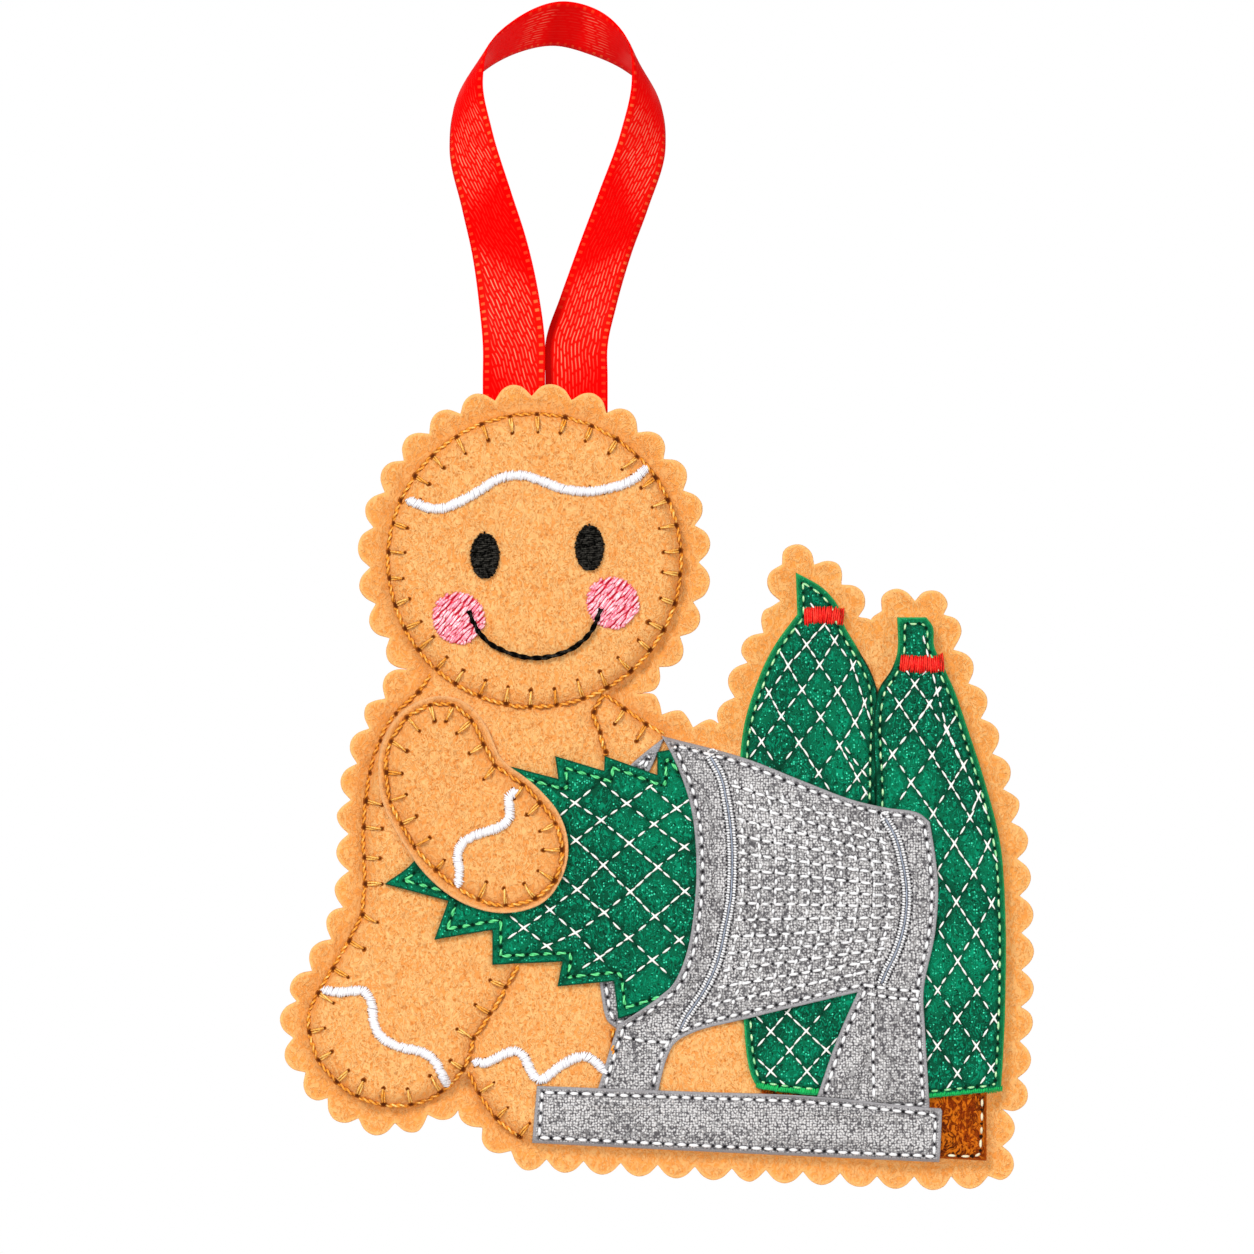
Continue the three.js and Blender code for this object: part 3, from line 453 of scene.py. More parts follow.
headSeam = circle(spots([(534.5, 560.5)])[0], 147 * mmPerStep)
bodySeam = curve_through(spots([
    (431, 674), (416, 694), (393, 716), (378, 744), (369, 772.5), (365, 802), (363, 830), (363.4, 857), (364.6, 886),
    (362, 914), (349, 940), (332, 969), (317, 994), (309, 1012.5), (308.6, 1033), (318, 1061), (336.6, 1082.5),
    (357, 1097), (383.6, 1105.5), (412, 1105.5), (441, 1093), (465, 1067.6), (474, 1039), (491.6, 1012.5),
    (506.5, 987), (519, 965)]))
footSeam = curve_through(spots([(468, 1072), (478, 1093), (496, 1119), (519, 1137.6)]))
kneeSeam = curve_through(spots([(612, 1028), (613, 1040), (612, 1056)]))
sideSeam = curve_through(spots([(604, 694), (592.6, 714), (599, 731), (606, 756)]))
shoulderSeam = curve_through(spots([(665, 734.6), (646.5, 724), (627, 710.5), (604, 694)]))
feltSeams = np.vstack([sides(headSeam), *[sides(seam, False) for seam in
                                          (bodySeam, footSeam, kneeSeam, sideSeam, shoulderSeam)]])
puffLine = cut_line("front_felt", -feltThickness, rank=1)
pictureEdge = grown(puffLine, -1.2)
scallops = untangled(flowing(cut_line("front_felt", -feltThickness), 0.42, sharp=12.0, only_inward=True))


def felt_height(points, plain=False):
    """Height in mm of a felt's face; plain is the back one, which has no seams."""
    depth = depth_in(points, puffLine)
    height = feltThickness + puff * smooth(depth / puffRun) + crown * (1 - np.exp(-np.maximum(depth, 0) / crownRun))
    height += uneven(points, 7.0, 0.10, 0.4) * smooth(depth / 6) + uneven(points, 3.1, 0.035, 1.1)
    if not plain:
        height -= sewnDent * np.exp(-(distance_to(points, feltSeams) / sewnDentWidth) ** 2)
    height -= marginDent * np.exp(-(distance_to(points, sides(pictureEdge)) / marginDentWidth) ** 2)
    return height


edgeGap, ribbonGap, ribbonMiddle, ribbonReach, ribbonFoot = 0.03, 0.24, -1.8, 7.2, -75


def felt_foot(points):
    """Height in mm of the felts' edges: they part a little where the ribbon goes in between them."""
    by_ribbon = smooth((ribbonReach - np.abs(points[:, 0] - ribbonMiddle)) / 1.2 + 1) * (points[:, 1] > ribbonFoot)
    return edgeGap + ribbonGap * by_ribbon


def mark(tree, name):
    """A value that the mesh carries at its points, such as how far in from the cut edge each lies."""
    return node(tree, "ShaderNodeAttribute", attribute_name=name).outputs["Fac"]


def tinted(colour, shares):
    """The colour with its red, green and blue multiplied by those shares."""
    return tuple(min(1.0, part * share) for part, share in zip(colour, shares)) + (1,)


def make_felt_finish(name, middle, border, pale):
    """Pressed wool blend: pale curled hairs over a warmer ground, small pits, painted shade by the seams, and a lighter
    cut edge.
    """
    material, tree, surface = finish(name, 0.95, Specular_IOR_Level=0.08, Sheen_Weight=0.04, Sheen_Roughness=0.5)
    fine, coarse = tangle(tree, 0.42), tangle(tree, 0.75)
    edge, crease_shade, seam_shade = (mark(tree, label) for label in ("edge_mm", "crease_shade", "seam_shade"))
    shade, dark, light = (tinted(middle, shares) for shares in (
        (0.90, 0.78, 0.64), (0.72, 0.52, 0.30), (1.12, 1.62, 2.5)))
    inner = ramp(tree, edge, 3.2, 4.6)
    face = plus(tree, times(tree, inner, 0.5), 0.5)
    tan = layered(
        tree, border, (inner, middle),
        (times(tree, ramp(tree, fine["Patch"], 0.4, 0.62), 0.42), shade),
        (times(tree, fine["Gap"], times(tree, face, 0.78)), dark),
        (times(tree, fine["Strand"], times(tree, face, 0.7)), light),
        (times(tree, coarse["Strand"], 0.5), light),
        (times(tree, coarse["Pit"], times(tree, face, 0.5)), dark),
        (times(tree, fine["Pit"], times(tree, face, 0.7)), dark),
        # painted shade: a wide soft band round the seams, then a darker line along them
        (times(tree, seam_shade, 0.34), shade),
        (times(tree, crease_shade, 0.36), dark),
        (less(tree, ramp(tree, edge, 0.05, 0.8)), pale))
    tree.links.new(tan, surface.inputs["Base Color"])
    raise_by(tree, surface, minus(tree, plus(tree, fine["Strand"], coarse["Strand"]), coarse["Pit"]), 0.00008, 0.8)
    return material


tanFelt = make_felt_finish("tan_craft_felt", cloth_colour(0.922, 0.61, 0.318), cloth_colour(0.945, 0.612, 0.29),
                           cloth_colour(1.0, 0.74, 0.45))
backFelt = shell("felt_back", scallops, backFeltStep, lambda p: felt_height(p, plain=True), felt_foot, tanFelt,
                 facing=1, back=True)
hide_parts("back_felt")
frontFelt = shell("felt_front", scallops, feltStep, felt_height, felt_foot, tanFelt, back=True,
                  creases=feltSeams)
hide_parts("front_felt")


# ---------------------------------------------------------------------------------------------
# Ribbon: one length of 10 mm double-faced red satin, folded into a loop. It rolls over at both
# shoulders, so its inner face shows at the top, and both ends are caught between the felts.

ribbonWidth, ribbonThickness, ribbonColumns, ribbonStep = 10.0, 0.26, 12, 0.4
loopLean, loopReach, loopHeight, exitLevel, tailBottom = 1.8, 17.4, 56.5, -56.5, -68.8
rowPitch, dashLength, tickPitch = 0.58, 2.3, 1.3
# each station: how far out and up the ribbon is, its tilt, how much of its width shows, and its bow
leftStations = [
    (0.286, 0, 0, 1, 0), (0.295, 0.09, 0.025, 1, 0), (0.351, 0.214, 0.065, 0.975, 0), (0.46, 0.372, 0.075, 0.9, 0),
    (0.5905, 0.503, 0.105, 0.83, 0), (0.755, 0.678, 0.12, 0.735, 0), (0.779, 0.813, 0.217, 0.56, 0.12),
    (0.62, 0.912, 0.42, 0.395, 0.048), (0.366, 0.968, 0.575, 0.447, 0), (-0.023, 1.005, 0.417, 0.685, 0)]
rightStations = [
    (0.291, 0, 0, 1, 0), (0.281, 0.09, 0.025, 1, 0), (0.376, 0.214, 0.063, 0.9, 0), (0.527, 0.372, 0.072, 0.83, 0),
    (0.672, 0.503, 0.091, 0.817, 0), (0.838, 0.678, 0.106, 0.745, 0), (0.842, 0.813, 0.203, 0.538, 0.12),
    (0.654, 0.914, 0.55, 0.41, 0.09), (0.398, 0.9717, 0.633, 0.63, 0)]
# how far the rows of dashes lean at each distance in mm from the crown, on either leg
leftDashLean = [(0, 0.08), (14, 0.1), (20, 0.26), (36, 0.26), (46, 0.3), (80, 0.3)]
rightDashLean = [(0, 0.08), (14, 0.1), (20, 0.3), (34, 0.2), (46, 0.02), (80, -0.04)]


def ribbon_lines(station, side):
    """Inner edge, middle and outer edge of the ribbon at one place on its way."""
    across, up, tilt, show, bow = station
    middle = -loopLean * (1 - up) - side * across * loopReach
    angle, reach = tilt * math.pi, show * ribbonWidth / 2
    depth = math.sqrt(1 - show * show) * ribbonWidth / 2
    dx, dz = side * math.cos(angle) * reach, math.sin(angle) * reach
    bow_x, bow_z = -side * math.sin(angle) * bow * ribbonWidth, math.cos(angle) * bow * ribbonWidth
    z = exitLevel + up * loopHeight
    return [(middle + dx, -depth, z + dz), (middle + bow_x, 0, z + bow_z), (middle - dx, depth, z - dz)]


def make_satin_finish():
    """Satin: rows of thin dashes that run nearly along the ribbon and take painted highlights in soft bands,
    a row of ticks inside each woven edge, a paler strip of painted sheen along each shoulder, painted shade
    at the crown's middle and in a band on each leg, and a strip of painted shade where one edge turns back."""
    material, tree, surface = finish("red_satin", 0.42, Specular_IOR_Level=0.03, Sheen_Weight=0.03,
                                     Sheen_Roughness=0.35, Sheen_Tint=cloth_colour(1.0, 0.5, 0.5))
    place = node(tree, "ShaderNodeAttribute", attribute_name="weave").outputs["Vector"]
    across, travel, slide = node(tree, "ShaderNodeSeparateXYZ", {0: place}).outputs
    away = maths(tree, "ABSOLUTE", travel)
    turned = mark(tree, "turned")

    def band(value, rise_from, rise_to, fall_from, fall_to):
        return times(tree, ramp(tree, value, rise_from, rise_to), less(tree, ramp(tree, value, fall_from, fall_to)))

    def off_middle(value):
        return maths(tree, "ABSOLUTE", minus(tree, maths(tree, "FRACT", value), 0.5))

    def chance(socket, value, dimensions):
        return node(tree, "ShaderNodeTexWhiteNoise", {socket: value}, noise_dimensions=dimensions).outputs["Value"]

    from_edge = minus(tree, ribbonWidth / 2, maths(tree, "ABSOLUTE", across))
    slow = node(tree, "ShaderNodeCombineXYZ", {0: times(tree, across, 0.2), 1: times(tree, away, 0.2)}).outputs[0]
    sway = node(tree, "ShaderNodeTexNoise", {"Vector": slow, "Scale": 1.0, "Detail": 1.0}).outputs[0]
    row_at = maths(tree, "DIVIDE", plus(tree, plus(tree, across, slide), times(tree, sway, 1.1)), rowPitch)
    row = maths(tree, "FLOOR", row_at)
    dash_at = plus(tree, maths(tree, "DIVIDE", away, dashLength), times(tree, chance("W", row, "1D"), 9.0))
    which = node(tree, "ShaderNodeCombineXYZ", {0: row, 1: maths(tree, "FLOOR", dash_at)}).outputs[0]
    line = less(tree, ramp(tree, off_middle(row_at), 0.04, 0.19))
    dash = less(tree, ramp(tree, off_middle(dash_at), 0.3, 0.48))
    floats = times(tree, times(tree, line, dash), plus(tree, times(tree, chance("Vector", which, "2D"), 0.65), 0.35))

    from_crown = maths(tree, "ABSOLUTE", minus(tree, travel, 1.2))
    # painted highlight bands: one round the crown, and one higher and one lower on each leg
    top = band(minus(tree, from_crown, times(tree, across, 0.35)), 2.3, 4.2, 5.8, 8.6)
    right = ramp(tree, travel, -1.0, 1.0)
    slant = times(tree, across, plus(tree, 0.5, times(tree, right, 0.45)))
    upper = times(tree, ramp(tree, minus(tree, away, times(tree, across, 0.5)), 21.8, 27.0),
                  less(tree, ramp(tree, minus(tree, away, slant), 32.0, 38.5)))
    lower = band(plus(tree, away, times(tree, across, 0.9)), 46.0, 52.0, 60.0, 72.0)
    highlight_bands = maths(tree, "MAXIMUM", maths(tree, "MAXIMUM", times(tree, top, 0.6), upper), lower)
    # painted highlight: the floats brighten only inside the bands
    highlight_strength = plus(tree, times(tree, times(tree, highlight_bands, ramp(tree, sway, 0.18, 0.42)), 0.85), 0.05)
    dashes = times(tree, times(tree, floats, ramp(tree, from_edge, 1.2, 1.7)), highlight_strength)

    tick_at = maths(tree, "DIVIDE", away, tickPitch)
    tick_chance = chance("W", maths(tree, "FLOOR", tick_at), "1D")
    crown_edge = times(tree, less(tree, ramp(tree, across, -0.5, 0.5)), less(tree, ramp(tree, away, 8.0, 13.0)))
    tick = times(tree, band(from_edge, 0.26, 0.4, 0.9, 1.05), less(tree, ramp(tree, off_middle(tick_at), 0.11, 0.22)))
    # each tick varies at random, is brighter in the painted highlight bands, and fades on the turned-back strip and by
    # the crown
    for share in (plus(tree, times(tree, tick_chance, 0.6), 0.4), plus(tree, times(tree, highlight_bands, 0.62), 0.22),
                  less(tree, turned), less(tree, times(tree, crown_edge, 0.65))):
        tick = times(tree, tick, share)

    # painted sheen: a paler strip along each shoulder
    shoulder = times(tree, band(across, -1.0, 0.6, 2.6, 4.4), band(away, 10.5, 13.0, 18.0, 21.5))
    # painted shade at the crown's middle and in a band on each leg, painted sheen on the shoulders, a painted glow in
    # the highlight bands, the highlighted floats and ticks, and painted shade on the turned-back strip
    red = layered(
        tree, cloth_colour(0.985, 0.0, 0.0),
        (less(tree, ramp(tree, from_crown, 1.5, 4.0)), cloth_colour(0.91, 0.0, 0.0)),
        (times(tree, band(away, 13.0, 16.0, 18.0, 23.0), 0.3), cloth_colour(0.86, 0.0, 0.0)),
        (times(tree, shoulder, 0.5), cloth_colour(1.0, 0.32, 0.30)),
        (times(tree, highlight_bands, 0.22), cloth_colour(1.0, 0.14, 0.07)),
        (dashes, cloth_colour(1.0, 0.66, 0.53)),
        (tick, cloth_colour(1.0, 0.52, 0.28)),
        (times(tree, turned, 0.9), cloth_colour(0.56, 0.0, 0.0)))
    tree.links.new(red, surface.inputs["Base Color"])
    raise_by(tree, surface, plus(tree, times(tree, floats, 0.4), tick), 0.00004, 0.6)
    return material


def make_ribbon():
    """The ribbon's mesh, from one hidden tail over the loop to the other, and its length in mm."""
    left = [ribbon_lines(s, 1) for s in leftStations]
    right = [ribbon_lines(s, -1) for s in reversed(rightStations)]
    tail = exitLevel - tailBottom
    drop = [0.34 * tail, 0.67 * tail, tail]
    start = [[(x, y, z - d) for x, y, z in left[0]] for d in reversed(drop)]
    end = [[(x, y, z - d) for x, y, z in right[-1]] for d in drop]
    stations = np.array(start + left + right + end)
    position = np.linspace(0, len(stations) - 1, len(curve_through(stations[:, 1], ribbonStep)))
    lanes = []
    for k in range(3):
        loop = stations[:, k]
        chord = np.diff(loop, axis=0)
        reach = np.linalg.norm(chord, axis=1)[:, None]
        chord = chord / reach
        between = (reach[1:] * chord[:-1] + reach[:-1] * chord[1:]) / (reach[1:] + reach[:-1])
        slope = np.vstack([chord[:1], between, chord[-1:]])
        i = np.minimum(position.astype(int), len(loop) - 2)
        lanes.append(bridge((position - i)[:, None], loop[i], slope[i], loop[i + 1], slope[i + 1], reach[i]))
    inner, middle, outer = lanes
    shares = np.linspace(-1, 1, ribbonColumns + 1)
    surface = np.stack([inner * (s * (s - 1) / 2) + middle * (1 - s * s) + outer * (s * (s + 1) / 2)
                        for s in shares], 1)
    along = np.concatenate([[0], np.cumsum(np.linalg.norm(np.diff(middle, axis=0), axis=1))])
    travelled = along - np.interp(len(start) + len(left) - 1, position, along)
    away = np.abs(travelled)
    # the strip where one edge turns back, which the satin darkens as painted shade
    turned = smooth((away - 48) / 12)[:, None] * smooth((-shares - 0.74) / 0.08)[None] * (travelled > 0)[:, None]
    curl = smooth((away - 46) / 8) * (1 - smooth((away - 57) / 5)) * (travelled > 0)
    surface[:, :, 1] += 0.7 * curl[:, None] * (np.maximum(-shares - 0.7, 0) / 0.3)[None] ** 2
    ahead = np.gradient(surface, axis=0)
    over = np.gradient(surface, axis=1)
    normal = unit(np.cross(over, ahead))
    cup = ribbonThickness / 2 * np.minimum(1, (1 - np.abs(shares)) / 0.05 + 0.45)[None, :, None]
    face, reverse = surface + normal * cup, surface - normal * cup
    rows, columns = surface.shape[:2]
    points = np.vstack([face.reshape(-1, 3), reverse.reshape(-1, 3)])
    faces, half = [], rows * columns
    for r in range(rows - 1):
        for c in range(columns - 1):
            a = r * columns + c
            faces.append((a, a + 1, a + 1 + columns, a + columns))
            faces.append((half + a, half + a + columns, half + a + 1 + columns, half + a + 1))
        for c in (0, columns - 1):
            a = r * columns + c
            rim = (a, a + columns, half + a + columns, half + a)
            faces.append(rim if c == 0 else rim[::-1])
    for r in (0, rows - 1):
        for c in range(columns - 1):
            a = r * columns + c
            rim = (a, half + a, half + a + 1, a + 1)
            faces.append(rim if r == 0 else rim[::-1])
    piece = mesh_piece("ribbon", points, faces, make_satin_finish(), body=None,
                       attributes={"turned": np.tile(turned.ravel(), 2)})
    lean = np.where(travelled < 0, np.interp(away, *zip(*leftDashLean)), np.interp(away, *zip(*rightDashLean)))
    slide = np.cumsum(lean * np.gradient(travelled))
    slide = np.where(travelled < 0, -slide, slide) - np.interp(0, travelled, slide) * np.sign(travelled)
    weave = np.stack(np.broadcast_arrays(shares * ribbonWidth / 2, travelled[:, None], slide[:, None]), -1)
    kept = piece.data.attributes.new("weave", "FLOAT_VECTOR", "POINT")
    kept.data.foreach_set("vector", np.vstack([weave.reshape(-1, 3)] * 2).astype(np.float32).ravel())
    return piece, along[-1]


ribbon, ribbonLength = make_ribbon()
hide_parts("ribbon_loop", "ribbon_tail_left", "ribbon_tail_right")
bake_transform(ribbon)


# ---------------------------------------------------------------------------------------------
# Thread: embroidery thread of one ply or two. A stitch comes up through one hole, lies on the cloth
# and goes down the next, so it is highest in its middle and sinks at both ends.

looseTwist = 4.0


def threads(name, stitches, surface, width, finishes, rise=0.0, ply=1, twist=1.6, stations=5, flat=0.75,
            sink=0.12, seed=1, shape=0.45, pointed=0.5):
    """One mesh of stitches. Each row of stitches has the x and z of its two ends, in mm. twist is the length
    of one turn of the plies, shape is how thick a stitch is at its ends, and pointed how fast it thins."""
    rng = np.random.default_rng(seed)
    stitches = np.asarray(stitches, float)
    count, corners = len(stitches), 6
    start, end = stitches[:, :2], stitches[:, 2:]
    length = np.linalg.norm(end - start, axis=1)
    ahead = unit(end - start)
    aside = np.stack([-ahead[:, 1], ahead[:, 0]], 1)
    t = np.linspace(0, 1, stations)
    hump = np.maximum(np.sin(np.pi * t), 0)
    radius = width / 2 * np.minimum(1, shape + (1 - shape) * hump ** pointed * 1.02)
    path = start[:, None] + (end - start)[:, None] * t[None, :, None]
    path += aside[:, None] * (rng.normal(0, 0.03, (count, 1, 1)) * hump[None, :, None])
    ground = surface(path.reshape(-1, 2)).reshape(count, stations)
    height = ground - sink + (rise + sink + width * flat / 2) * hump[None] ** 0.5
    tone = rng.random(count)
    points, faces, tones, ply_highlights = [], [], [], []
    angle = np.arange(corners) / corners * 2 * math.pi
    twist = np.broadcast_to(np.asarray(twist, float), (count,))[:, None]
    loose = twist > looseTwist
    phase = np.where(loose, rng.normal(0, 0.35, (count, 1)), rng.random((count, 1)) * 6)
    for k in range(ply):
        turn = 2 * math.pi * length[:, None] * t[None] / twist + k * 2 * math.pi / ply + phase
        offset = np.zeros_like(twist) if ply == 1 else width * np.where(loose, 0.27, 0.23)
        thin = radius[None] * (1.0 if ply == 1 else np.where(loose, 0.52, 0.62))
        side = offset * np.cos(turn)
        lift = offset * np.sin(turn)
        ring = thin[:, :, None] * np.cos(angle)[None, None]
        tall = thin[:, :, None] * flat * np.sin(angle)[None, None]
        spread = side[:, :, None] + ring
        x = path[:, :, None, 0] + aside[:, None, None, 0] * spread
        z = path[:, :, None, 1] + aside[:, None, None, 1] * spread
        y = -(height[:, :, None] + lift[:, :, None] + tall)
        points.append(np.stack([x, y, z], -1).reshape(-1, 3))
        base = (k * count + np.arange(count)) * stations * corners
        one = []
        for s in range(stations - 1):
            for c in range(corners):
                d = (c + 1) % corners
                one.append((s * corners + c, s * corners + d, (s + 1) * corners + d, (s + 1) * corners + c))
        quads = (base[:, None, None] + np.array(one)[None]).reshape(-1, 4)
        caps = np.vstack([base[:, None] + np.arange(corners)[None, ::-1],
                          base[:, None] + (stations - 1) * corners + np.arange(corners)[None]])
        faces += quads.tolist() + caps.tolist()
        tones.append(np.repeat(tone, stations * corners))
        # painted highlight along the top of each ply, lower where a ply of a tight twist turns under
        raised = np.ones_like(turn) if ply == 1 else np.where(loose, 1.0, 0.5 + 0.5 * np.sin(turn))
        ply_highlights.append((raised[:, :, None] * np.maximum(np.sin(angle), 0)[None, None] ** 1.5).ravel())
    return mesh_piece(name, np.vstack(points), faces, finishes,
                      attributes={"tone": np.concatenate(tones), "ply_highlight": np.concatenate(ply_highlights)})


def seat_on(*pieces):
    """Height in mm of the highest of these pieces' faces at each point, for what is sewn on them."""
    trees = [BVHTree.FromPolygons([tuple(v.co) for v in piece.data.vertices],
                                  [tuple(face.vertices) for face in piece.data.polygons]) for piece in pieces]

    def height(points):
        found = np.full(len(points), -1.0)
        for number, (x, z) in enumerate(points / 1000):
            for tree in trees:
                hit = tree.ray_cast(Vector((x, -0.03, z)), Vector((0, 1, 0)), 0.04)[0]
                if hit is not None:
                    found[number] = max(found[number], -hit.y * 1000)
        missed = found < 0
        if missed.any():
            found[missed] = felt_height(points[missed])
        return found
    return height


onFelt = seat_on(frontFelt)


def measured(path):
    """How far along the path each of its points is."""
    steps = np.linalg.norm(np.diff(path, axis=0), axis=1)
    return np.concatenate([[0], np.cumsum(steps)])


def at(path, travelled, wanted):
    """The places at those distances along the path."""
    wanted = np.asarray(wanted, float)
    return np.stack([np.interp(wanted, travelled, path[:, 0]), np.interp(wanted, travelled, path[:, 1])], -1)


def running(path, pitch, stitch, seed=3, jitter=0.06, closed=False):
    """Even running stitches along a line."""
    rng = np.random.default_rng(seed)
    if closed:
        path = np.vstack([path, path[:1]])
    travelled = measured(path)
    count = max(1, round(travelled[-1] / pitch))
    beats = (np.arange(count) + 0.5) * travelled[-1] / count
    beats = beats + rng.normal(0, jitter * pitch / 4, count)
    half = stitch / 2 * (1 + rng.normal(0, jitter, count))
    return np.hstack([at(path, travelled, beats - half), at(path, travelled, beats + half)])


def gaps_between(rows, closed=True):
    """The places halfway between each stitch and the next."""
    gaps = (rows[:, 2:] + np.roll(rows[:, :2], -1, 0)) / 2
    return gaps if closed else gaps[:-1]


def pricks(name, places, surface, radius, colour, seed=5, along=None, longer=1.0):
    """Needle holes: small dark fans of painted shade where a thread goes through the cloth, pulled long along the seam.
    """
    rng = np.random.default_rng(seed)
    places = np.asarray(places, float)
    count, corners = len(places), 9
    angle = np.arange(corners) / corners * 2 * math.pi
    size = radius * (1 + rng.normal(0, 0.13, (count, corners))) * (1 + rng.normal(0, 0.15, (count, 1)))
    along = np.tile([[1.0, 0.0]], (count, 1)) if along is None else along
    aside = np.stack([-along[:, 1], along[:, 0]], 1)
    rim = (places[:, None] + along[:, None] * (size * np.cos(angle) * longer)[..., None]
           + aside[:, None] * (size * np.sin(angle))[..., None])
    x, z = rim[..., 0], rim[..., 1]
    height = surface(rim.reshape(-1, 2)).reshape(count, corners)
    middle = surface(places)
    points = np.concatenate([np.stack([x, -(height + 0.035), z], -1),
                             np.stack([places[:, 0], -(middle + 0.05), places[:, 1]], -1)[:, None]], 1).reshape(-1, 3)
    base = np.arange(count)[:, None] * (corners + 1)
    fan = np.array([(c, (c + 1) % corners, corners) for c in range(corners)])
    faces = (base[:, None] + fan[None]).reshape(-1, 3)
    depth = np.tile(np.append(np.zeros(corners), 1.0), count)
    return mesh_piece(name, points, faces, colour, attributes={"depth": depth})


def make_thread_finish(name, dark, light, middle=None, **constants):
    """Glossy filament: painted highlight along the top of each ply, painted shade where it turns under, and a
    little lighter or darker from stitch to stitch."""
    material, tree, surface = finish(name, 0.45, **{"Specular_IOR_Level": 0.15, **constants})
    fine = tangle(tree, 0.28)
    share = plus(tree, plus(tree, times(tree, mark(tree, "tone"), 0.22), times(tree, fine["Strand"], 0.2)),
                 times(tree, mark(tree, "ply_highlight"), 0.75))
    if middle is None:
        colour = layered(tree, dark, (share, light))
    else:
        colour = layered(tree, dark, (ramp(tree, share, 0.15, 0.55), middle), (ramp(tree, share, 0.62, 1.02), light))
    tree.links.new(colour, surface.inputs["Base Color"])
    raise_by(tree, surface, fine["Strand"], 0.00004, 0.7)
    return material


def make_prick_finish(name, rim, middle):
    """Painted shade of a needle hole: as dark as its rim at the edge, and darker in the middle."""
    material, tree, surface = finish(name, 0.95, Specular_IOR_Level=0.1)
    uneven_depth = plus(tree, mark(tree, "depth"), times(tree, tangle(tree, 0.5)["Patch"], 0.3))
    tree.links.new(layered(tree, rim, (ramp(tree, uneven_depth, 0.18, 0.85), middle)), surface.inputs["Base Color"])
    return material


goldThread = make_thread_finish("gold_thread", cloth_colour(0.66, 0.32, 0.03), cloth_colour(1.0, 0.88, 0.52),
                                middle=cloth_colour(0.95, 0.60, 0.16), Specular_IOR_Level=0.25)
goldPricks = make_prick_finish("gold_stitch_hole_shade", cloth_colour(0.62, 0.33, 0.09), cloth_colour(0.33, 0.14, 0.02))


# ---------------------------------------------------------------------------------------------
# Cloths of the picture: cut felt and metallic cloth, laid one over the other on the front felt and
# sewn down near their edges. Each is about as thick as its CAD node and bends over the ones below it.

easing, cutEase, cutStep, edgeSink, hiddenDepth, leastSheet = 0.95, 0.25, 0.4, 0.12, 0.15, 0.01
# each cloth's CAD face, as its depth in mm, and the thickness that the cloth has here
cloths = {"trunk_left": (-4.1, 0.5), "trunk_right": (-4.1, 0.5), "back_tree_left": (-5.1, 0.9),
          "back_tree_right": (-5.1, 0.9), "machine_rim": (-4.1, 0.5), "front_tree": (-5.1, 0.9),
          "machine_cone": (-5.7, 0.6), "machine_base": (-6.3, 0.6), "arm": (-6.1, 1.0)}
laid = []


def cut_of(cad):
    """A cloth's outline in mm, as its CAD node has it."""
    return cut_line(cad, cloths[cad][0])


def edge_of(cut):
    """A cloth's cut edge: a little outside its CAD outline, and smooth between its corners."""
    return untangled(flowing(grown(cut, cutEase), cutStep))


def sewing_line(cut, by):
    """The line of the sewing, that far inside a cloth's cut edge."""
    edge = edge_of(cut)
    moved = grown(edge, -by)
    return moved[depth_in(moved, edge) > by * 0.8]


def stack_height(points, upto):
    """Height in mm at each point of the felt with the first upto cloths on it."""
    height = felt_height(points)
    for number, (loop, thickness, lines, dent, dent_width) in enumerate(laid[:upto]):
        depth = depth_in(points, loop)
        height = height + thickness * smooth((depth + easing) / easing)
        if lines is not None and number == upto - 1:
            height = height - dent * np.exp(-(distance_to(points, lines) / dent_width) ** 2) * (depth > 0)
    return height


def lay(name, cad, finishes, step=0.6, lines=None, dent=0.3, dent_width=0.6,
        cut=None):
    """Lays one cloth on the pile, in the outline of its CAD node, drawn in along the lines of its sewing."""
    coarse = cut_of(cad) if cut is None else cut
    thickness = cloths[cad][1]
    loop = edge_of(coarse)
    rows = None if lines is None else np.vstack(lines)
    under = len(laid)
    laid.append((grown(coarse, cutEase), thickness, rows, dent, dent_width))

    def front(points):
        height = stack_height(points, under) + thickness
        if rows is not None:
            height = height - dent * np.exp(-(distance_to(points, rows) / dent_width) ** 2)
        return height

    def foot(points):
        return stack_height(points, under) - edgeSink

    piece = shell(name, loop, step, front, foot, finishes, creases=rows)
    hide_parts(cad)
    low, high = loop.min(0), loop.max(0)
    width, length = (high - low) / 1000
    if min(width, length) >= leastSheet:
        max(area_of(loop) / 1e6, 0.3 * width * length)
    return piece


def uncovered(rows, *outlines):
    """The stitches that no piece laid over them hides."""
    kept = np.ones(len(rows), bool)
    for outline in outlines:
        kept &= (depth_in(rows[:, :2], outline) < hiddenDepth) & (depth_in(rows[:, 2:], outline) < hiddenDepth)
    return rows[kept]


def shown_places(places, *outlines):
    """The places that no piece laid over them hides."""
    return uncovered(np.hstack([places, places]), *outlines)[:, :2]


treeCut, coneCut, baseCut, armCut = (cut_of(cad) for cad in ("front_tree", "machine_cone", "machine_base", "arm"))


# ---------------------------------------------------------------------------------------------
# Trunks: brown metallic cloth, two short ends that show below the back trees. They are laid first,
# because the trees cover their tops, and the right one is held by cream running stitch.

